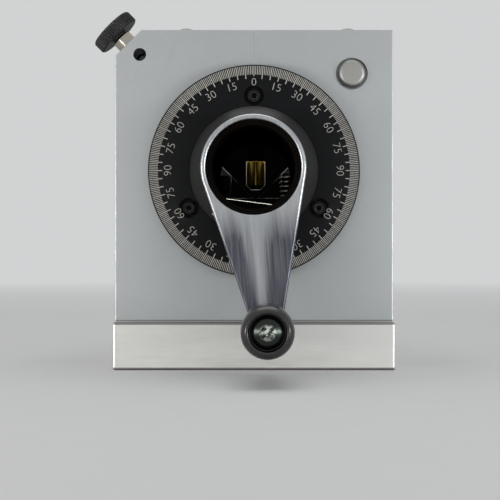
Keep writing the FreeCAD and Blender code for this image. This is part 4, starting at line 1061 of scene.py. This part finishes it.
def make_set_screw(along, start):
    end, key, key_depth = start + SET_SCREW_LENGTH, 1.1, 2
    corners = [(0, start), (SET_SCREW, start), (SET_SCREW, end, EASED_EDGE), (0, end)]
    screw = lathe("set_screw", corners, along, 32)
    drill(screw, rod(key, end - key_depth, end + PAST, along, 6))
    fit(screw, "spindle", "hardened_steel", ["crank_set_screw"])


def grip_radius(height, length):
    """The grip swells to its belly and ends in a soft rim. Height is from the crank's face."""
    belly = grip.size.x / 2
    if height < GRIP_BELLY_AT:
        rise, run, away = belly - GRIP_ROOT, GRIP_BELLY_AT - FREE_GAP, GRIP_BELLY_AT - height
    else:
        rise, run, away = belly - GRIP_TIP, GRIP_TIP_RUN, max(0.0, height - (length - GRIP_TIP_RUN))
    curve = (rise * rise + run * run) / (2 * rise)
    return belly - curve + math.sqrt(curve * curve - away * away)


def make_handle():
    place = at(grip.middle.x, crank.low.y, grip.middle.z, "-y")
    length = crank.low.y - grip.low.y
    tip, floor, bore = length - GRIP_TIP_RUN, length - GRIP_SINK_DEPTH, BUSH + SEAT_GAP
    steps = 24
    heights = [FREE_GAP + (tip - FREE_GAP) * step / steps for step in range(steps + 1)]
    heights += [tip + GRIP_TIP_RUN * math.sin(math.radians(step * 10)) for step in range(1, 10)]
    profile = [(bore, FREE_GAP)] + [(grip_radius(height, length), height) for height in heights]
    profile += [(GRIP_SINK, length, GRIP_MOUTH_EDGE), (GRIP_SINK, floor, SOFT_EDGE), (bore, floor)]
    fit(lathe("handle_grip_moulded", profile, place, 128), "handle", "handle_plastic", ["handle_grip"])
    make_handle_screw(place)


def make_handle_screw(place):
    screw = Extent("handle_screw")
    top, bottom = crank.low.y - screw.low.y, crank.low.y - screw.high.y
    seat = top - PAN_HEAD_HEIGHT
    rim = seat + PAN_HEAD_RIM
    corners = [(0, bottom), (HANDLE_SHANK, bottom), (HANDLE_SHANK, seat), (PAN_HEAD, seat)]
    body = lathe("handle_pan_screw", corners + dome(PAN_HEAD, rim, top - rim, 16), place, 96)
    # The cross recess: half its width at the mouth, below the lip and at the floor
    mouth, lip, root = 3.0, 2.4, 0.9
    lip_drop, depth, wing_half, recess_turn = 0.4, 2.2, 0.6, 38
    half = [(root, top - depth), (lip, top - lip_drop), (mouth, top + PAST)]
    outline = [(-x, z) for x, z in reversed(half)] + half
    wings = []
    for turn in (recess_turn, recess_turn + 90):
        wing = turned(place, math.radians(turn)) @ Matrix.Rotation(math.radians(90), 4, "X")
        wings.append(prism("wing", outline, -wing_half, wing_half, wing))
    fit(bevel(drill(body, *wings), RECESS_EDGE, 2, 50), "spindle", "bright_screw", ["handle_screw"])


def make_index_pin():
    radius, rear, front = pin.size.x / 2, pin.low.y, pin.high.y
    nose_start = front - PIN_NOSE_LENGTH
    waist_start, waist_end = rear + PIN_WAIST_START, rear + PIN_WAIST_END
    body = lathe("index_pin_ground", [
        (0, rear), (radius, rear, PIN_EDGE), (radius, waist_start), (PIN_WAIST, waist_start),
        (PIN_WAIST, waist_end), (radius, waist_end), (radius, nose_start - PIN_NOSE_EDGE),
        (PIN_NOSE, nose_start), (PIN_NOSE, front - PIN_NOSE_EDGE), (PIN_NOSE - PIN_NOSE_EDGE, front),
        (0, front),
    ], at(pin.middle.x, 0, pin.middle.z, "y"), 96)
    fit(body, "index_pin", "pin_steel", ["index_pin"])


# Thumb screw in the cut corner
def stop_screw_place():
    return at(stop_rod.x, Extent("stop_knob").middle.y, stop_rod.z, "up_left")


def make_thumb_screw():
    """A bright neck and a black knurled head."""
    insets = (stop_rod.x - block.low.x) + (block.high.z - stop_rod.z)
    chamfer = (insets - BLOCK_CORNER) / math.sqrt(2)
    knob_start = chamfer + STOP_KNOB_AT
    neck_end = knob_start - FREE_GAP
    knob_end = knob_start + STOP_KNOB_LENGTH
    core_end = knob_end - STOP_KNOB_EDGE
    start = STOP_ROD + STOP_PAD_REST + STOP_PAD_LENGTH
    place = stop_screw_place()
    neck = lathe("stop_screw_neck", [
        (0, start), (STOP_SCREW, start), (STOP_SCREW, neck_end - STOP_NECK_EDGE, EASED_EDGE),
        (STOP_SCREW - STOP_NECK_EDGE, neck_end, EASED_EDGE), (STOP_CORE, neck_end), (STOP_CORE, core_end),
        (0, core_end),
    ], place, 64)
    fit(neck, "stop_screw", "nickel", ["stop_screw"])
    knob = knurled_knob("stop_knob_knurled", STOP_CORE + SEAT_GAP, STOP_KNOB, STOP_KNOB_EDGE, knob_start,
                        knob_end, place, 60)
    # Its mesh lies in the frame's axes, so that its box is no larger than the knob.
    knob.data.transform(knob.matrix_world)
    knob.matrix_world = Matrix.Identity(4)
    fit(knob, "stop_screw", "black_oxide", ["stop_knob"])


def knurled_knob(name, bore, radius, edge, low, high, place, count):
    """A flat knob with straight knurling, broken edges and a shallow dish in its face."""
    dish_share, depth, knurl_depth = 0.62, 0.5, 0.38
    dish, knurl_start = radius * dish_share, radius - edge * 1.1
    corners = [(bore, low), (radius - edge, low), (radius, low + edge), (radius, high - edge),
               (radius - edge, high), (dish, high, EASED_EDGE), (dish - depth, high - depth),
               (bore, high - depth)]
    return lathe(name, corners, place, count * 6, (count, knurl_depth, knurl_start))


# Index plate and the work side
def notched_outline():
    """The plate's rim, with a round notch for each place of the index pin."""
    radius = plate.size.x / 2
    reach = (plate.size.x / 2) ** 2 + NOTCH_CIRCLE ** 2 - NOTCH ** 2
    half = math.acos(reach / (2 * radius * NOTCH_CIRCLE))
    step = 2 * math.pi / NOTCH_COUNT
    outline = []
    for middle in around(NOTCH_COUNT, math.radians(45)):
        centre = polar(middle, NOTCH_CIRCLE)
        first = polar(middle - half, radius) - centre
        last = polar(middle + half, radius) - centre
        start = math.atan2(first.y, first.x)
        sweep = (math.atan2(last.y, last.x) - start) % (2 * math.pi) - 2 * math.pi
        outline += arc_points(centre.x, centre.y, NOTCH, start, sweep, 14)
        outline += arc_points(0, 0, radius, middle + half, step - 2 * half, 4)[1:-1]
    return outline


def bracket_screw_places():
    screws = Extent("bracket_screws")
    seat = bracket.high.y - bracket_screw.height
    xs = (screws.low.x + bracket_screw.head, screws.high.x - bracket_screw.head)
    return [at(x, seat, screws.middle.z, "y") for x in xs]


def blade_screw_place():
    screw, blade = Extent("blade_screw"), Extent("end_stop_blade")
    return at(screw.middle.x, blade.high.y + FREE_GAP, screw.middle.z, "y")


def make_index_plate():
    hole = [circle(0, 0, JOURNAL + SEAT_GAP, 128)]
    body = prism("index_plate_notched", notched_outline(), plate.low.y, plate.high.y, on_axis(), hole)
    bevel(body, SPINDLE_EDGE, 2, 50)
    places = plate_screw_places()
    drill(body, *plate_screw.holes(places), *bracket_screw.holes(bracket_screw_places(), sunk=False),
          *blade_screw.holes([blade_screw_place()], sunk=False))
    fit(body, "spindle", "hardened_steel", ["index_plate"])
    plate_screw.put_in("index_plate_screws", places)


def make_bracket():
    body = bevel(box("bracket_ground", bracket.low, bracket.high), FIXTURE_EDGE)
    low, high = bracket.low.z - PAST, bracket.high.z + PAST
    places, lead_place = bracket_screw_places(), standing(lead)
    drill(
        body,
        *bracket_screw.holes(places),
        rod(post.size.x / 2 + SEAT_GAP, low, high, standing(post)),
        rod(LEAD_JOURNAL + SEAT_GAP, low, high, lead_place),
        rod(COLLAR_ROOM, low, bracket.low.z + COLLAR_ROOM_DEPTH, lead_place),
    )
    fit(body, "spindle", "ground_steel", ["post_bracket"])
    bracket_screw.put_in("bracket_screws", places)


def make_guide_post():
    radius, low, high = post.size.x / 2, post.low.z, post.high.z
    guide = lathe("guide_post_ground", [
        (0, low), (radius, low), (radius, high - POST_CHAMFER), (radius - POST_CHAMFER, high), (0, high),
    ], standing(post), 96)
    fit(guide, "spindle", "hardened_steel", ["guide_post"], steel_painted_shade)


def make_lead_screw():
    pitch, depth = 2, 0.9
    place = standing(lead)
    shoulder = bracket.high.z + FREE_GAP
    screw = thread("lead_screw_thread", lead.size.x / 2, depth, pitch, shoulder, lead.high.z, place,
                   POST_CHAMFER, 64)
    drill(screw, rod(LEAD_KEY, lead.high.z - LEAD_KEY_DEPTH, lead.high.z + PAST, place, 6))
    journal = rod(LEAD_JOURNAL, lead.low.z, shoulder + SEAT_GAP, place)
    fit(join(screw, journal), "lead_screw", "hardened_steel", ["lead_screw"], lead_thread_painted_glints)


def vee_screw_places():
    screws = Extent("v_block_screws")
    zs = (screws.low.z + vee_screw.head, screws.high.z - vee_screw.head)
    return [at(AXIS_X, vee.high.y - vee_screw.height, z, "y") for z in zs]


def make_carriage():
    body = bevel(box("carriage_ground", carriage.low, carriage.high), FIXTURE_EDGE)
    low, high = carriage.low.z - PAST, carriage.high.z + PAST
    flange, nut_place = nut.size.x / 2, standing(nut)
    drill(
        body,
        rod(post.size.x / 2 + SEAT_GAP, low, high, standing(post), 96),
        rod(NUT + SEAT_GAP, low, high, nut_place, 96),
        rod(flange + SEAT_GAP, low, carriage.low.z + NUT_FLANGE, nut_place, 96),
        *vee_screw.holes(vee_screw_places(), sunk=False),
    )
    fit(body, "v_carriage", "ground_steel", ["v_carriage"], steel_painted_shade)
    bore, seat = lead.size.x / 2 + SEAT_GAP, nut.low.z + NUT_FLANGE
    ring = lathe("lead_nut_turned", [
        (bore, nut.low.z), (flange, nut.low.z), (flange, seat), (NUT, seat), (NUT, nut.high.z, SOFT_EDGE),
        (bore, nut.high.z, SOFT_EDGE),
    ], nut_place, 96)
    fit(ring, "v_carriage", "bronze", ["lead_nut"])


def bridge_screw_places():
    z = Extent("bridge_screws").middle.z
    return [at(bridge.high.x, bridge.middle.y, z, "x"), at(bridge.low.x, bridge.middle.y, z, "-x")]


def make_v_block():
    half, bottom, top = vee.size.x / 2, vee.low.z - AXIS_Z, vee.high.z - AXIS_Z
    throat, floor = VEE_RELIEF - VEE_APEX_DROP, -(VEE_APEX_DROP + VEE_RELIEF_DEPTH)
    outline = [(-half, bottom), (half, bottom), (half, top), (VEE_HALF_OPENING, top), (VEE_RELIEF, throat),
               (VEE_RELIEF, floor), (-VEE_RELIEF, floor), (-VEE_RELIEF, throat), (-VEE_HALF_OPENING, top),
               (-half, top)]
    body = prism("v_block_ground", outline, -vee.high.y, -vee.low.y, on_axis("-y"))
    bevel(body, FIXTURE_EDGE / 2, 2, 30)
    places = vee_screw_places()
    drill(body, *vee_screw.holes(places), *bridge_screw.holes(bridge_screw_places(), sunk=False))
    fit(body, "v_carriage", "hardened_steel", ["v_block"], steel_painted_shade)
    vee_screw.put_in("v_block_screws", places, "v_carriage")


def make_bridge():
    outer, inner = bridge.size.x / 2, bridge.size.x / 2 - BRIDGE_LEG
    bottom, top = bridge.low.z - AXIS_Z, bridge.high.z - AXIS_Z
    outline = [(-outer, bottom), (-inner, bottom), (-inner, BRIDGE_CLEAR), (inner, BRIDGE_CLEAR),
               (inner, bottom), (outer, bottom), (outer, top - BRIDGE_CORNER), (outer - BRIDGE_CORNER, top),
               (BRIDGE_CORNER - outer, top), (-outer, top - BRIDGE_CORNER)]
    body = prism("bridge_ground", outline, -bridge.high.y, -bridge.low.y, on_axis("-y"))
    bevel(body, FIXTURE_EDGE, 2, 30)
    clamp_place = standing(clamp)
    low = AXIS_Z + BRIDGE_CLEAR - PAST
    places = bridge_screw_places()
    drill(body, rod(CLAMP_SCREW + SEAT_GAP, low, bridge.high.z + PAST, clamp_place),
          *bridge_screw.holes(places, sunk=False))
    fit(body, "v_carriage", "ground_steel", ["clamp_bridge"])
    bridge_screw.put_in("bridge_screws", places, "v_carriage")


def make_clamp():
    pitch, depth, overlap = 1.25, 0.55, 0.2
    pad, place = Extent("clamp_pad"), standing(clamp)
    radius = pad.size.x / 2
    body = lathe("clamp_pad_brass", [
        (0, pad.low.z), (radius - PAD_TAPER, pad.low.z, SLIGHT_EDGE),
        (radius, pad.low.z + PAD_TAPER, FINE_EDGE), (radius, pad.high.z, SOFT_EDGE), (0, pad.high.z),
    ], place, 96)
    fit(body, "clamp_pad", "brass", ["clamp_pad"])
    start, collar = AXIS_Z + BRIDGE_CLEAR - 1, clamp_knob.low.z
    stem = thread("clamp_screw_thread", CLAMP_SCREW, depth, pitch, start, collar + overlap, place)
    plain = rod(CLAMP_STEM, clamp.low.z, start + overlap, place)
    end = rod(CLAMP_SCREW, collar, clamp.high.z, place)
    # The clamp screw is painted near black: painted shade in the bore.
    fit(join(stem, plain, end), "clamp_screw", "nickel", ["clamp_screw"], bore_painted_shade)
    knob = knurled_knob("clamp_knob_knurled", CLAMP_SCREW + SEAT_GAP, clamp_knob.size.x / 2, KNOB_EDGE,
                        clamp_knob.low.z, clamp_knob.high.z, place, 64)
    fit(knob, "clamp_screw", "black_oxide", ["clamp_knob"])


def make_blade():
    screw, blade = Extent("blade_screw"), Extent("end_stop_blade")
    tilt = Matrix.Rotation(math.radians(BLADE_TILT), 4, "Y")
    place = at(screw.middle.x, 0, screw.middle.z) @ tilt @ TURNS["-y"]
    outline = [(-BLADE_TAIL, -BLADE_HALF), (BLADE_REACH, -BLADE_HALF), (BLADE_REACH, BLADE_HALF),
               (-BLADE_TAIL, BLADE_HALF)]
    hole = [circle(0, 0, blade_screw.shank + SEAT_GAP, 32)]
    body = prism("end_stop_blade_ground", outline, -blade.high.y, -blade.low.y, place, hole)
    # The blade's faces are painted near black as in shade, and its broken edges carry a painted highlight.
    fit(bevel(body, BLADE_EDGE, 1), "end_stop", "ground_steel", ["end_stop_blade"], steel_painted_shade)
    paint_facets(body, blade_edge)
    blade_screw.put_in("blade_screw", [blade_screw_place()])


# Floor, backdrop, light and camera
PALE = (0.64, 0.645, 0.65, 1)


def make_floor():
    """A pale floor that fades into the backdrop's tone far from the object."""
    half, fade_start, fade_end = 20000, 0.35, 1.2
    n = Nodes("floor_pale")
    fine = n.noise(n.object_point(), 60, 4, 0.6)
    n.put("Base Color", n.blend(fine, (0.76, 0.76, 0.755, 1), (0.79, 0.79, 0.785, 1)))
    n.put("Roughness", 0.85)
    far = n.add("ShaderNodeVectorMath", operation="LENGTH")
    n.link(n.object_point(), far.inputs[0])
    glow = n.add("ShaderNodeEmission")
    glow.inputs["Color"].default_value = PALE
    mix = n.add("ShaderNodeMixShader")
    n.feed(mix.inputs[0], n.spread(far.outputs["Value"], 0, 1, fade_start, fade_end))
    n.link(n.shader.outputs[0], mix.inputs[1])
    n.link(glow.outputs[0], mix.inputs[2])
    n.link(mix.outputs[0], n.tree.nodes["Material Output"].inputs["Surface"])
    floor = prism("floor", [(-half, -half), (half, -half), (half, half), (-half, half)], -1, 0, at(0, 0, 0))
    floor.data.materials.append(n.material)


# The camera's place, behind the crank and lower than the spindle
CAMERA = Vector((3.8, -640, 48.84))


def make_dark_card():
    """A dark card far behind the bore, in line with the camera: painted shade, so that the bore looks into
    the dark.
    """
    distance, radius = 3000, 110
    through = Vector((AXIS_X, tube.high.y, AXIS_Z)) - CAMERA
    centre = CAMERA + through * (distance - CAMERA.y) / through.y
    n = Nodes("card_dark")
    n.put("Base Color", (0.0015, 0.0015, 0.0015, 1))
    n.put("Roughness", 1.0)
    n.put("Specular IOR Level", 0.0)
    card = prism("dark_card", circle(0, 0, radius), 0, 1, at(*centre, "y"))
    card.data.materials.append(n.material)


def make_world():
    """Soft light from all round. The camera, glossy surfaces and glass see the pale backdrop."""
    world = bpy.data.worlds.new("studio")
    bpy.context.scene.world = world
    world.use_nodes = True
    nodes, links = world.node_tree.nodes, world.node_tree.links
    light = nodes["Background"]
    light.inputs["Color"].default_value = (0.80, 0.81, 0.83, 1)
    light.inputs["Strength"].default_value = 0.42
    backdrop = nodes.new("ShaderNodeBackground")
    backdrop.inputs["Color"].default_value = PALE
    path = nodes.new("ShaderNodeLightPath")
    seen = path.outputs["Is Camera Ray"]
    for kind in ("Is Glossy Ray", "Is Transmission Ray"):
        either = nodes.new("ShaderNodeMath")
        either.operation = "MAXIMUM"
        links.new(seen, either.inputs[0])
        links.new(path.outputs[kind], either.inputs[1])
        seen = either.outputs[0]
    mix = nodes.new("ShaderNodeMixShader")
    links.new(seen, mix.inputs[0])
    links.new(light.outputs[0], mix.inputs[1])
    links.new(backdrop.outputs[0], mix.inputs[2])
    links.new(mix.outputs[0], nodes["World Output"].inputs["Surface"])


def soft_light(name, place, size, power, color):
    data = bpy.data.lights.new(name, "AREA")
    data.shape = "RECTANGLE"
    data.size, data.size_y = size
    data.energy = power
    data.color = color
    lamp = new_object(name, data)
    aim = (block.middle + base.middle) / 2 * MM
    lamp.location = place
    lamp.rotation_mode = "QUATERNION"
    lamp.rotation_quaternion = (Vector(place) - aim).to_track_quat("Z", "Y")
    lamp.visible_camera = False


def make_lights():
    soft_light("key", (-0.42, -0.45, 0.03), (0.3, 0.1), 1.6, (1.0, 0.99, 0.97))
    soft_light("fill", (0.42, -0.45, 0.03), (0.3, 0.1), 1.6, (0.97, 0.98, 1.0))
    soft_light("top", (0.0, 0.1, 1.1), (0.9, 0.9), 4, (1, 1, 1))


def make_camera():
    """Level, lower than the spindle and a little to the right, as the photograph was taken."""
    data = bpy.data.cameras.new("camera")
    data.sensor_width = 36
    data.lens = 113.3
    data.shift_x = -0.028
    data.shift_y = -0.02
    data.clip_start = 0.01
    data.clip_end = 100
    camera = new_object("camera", data)
    camera.location = CAMERA * MM
    camera.rotation_euler = (math.radians(90), 0, 0)
    bpy.context.scene.camera = camera


paint_cad_nodes()
make_base()
make_housing()
make_plugs()
make_dial()
make_dial_lines()
make_dial_numbers()
make_hub()
make_spindle()
make_crank()
make_handle()
make_index_pin()
make_thumb_screw()
make_index_plate()
make_bracket()
make_guide_post()
make_lead_screw()
make_carriage()
make_v_block()
make_bridge()
make_clamp()
make_blade()
make_floor()
make_dark_card()
make_world()
make_lights()
make_camera()
bpy.context.scene.view_settings.view_transform = "Standard"
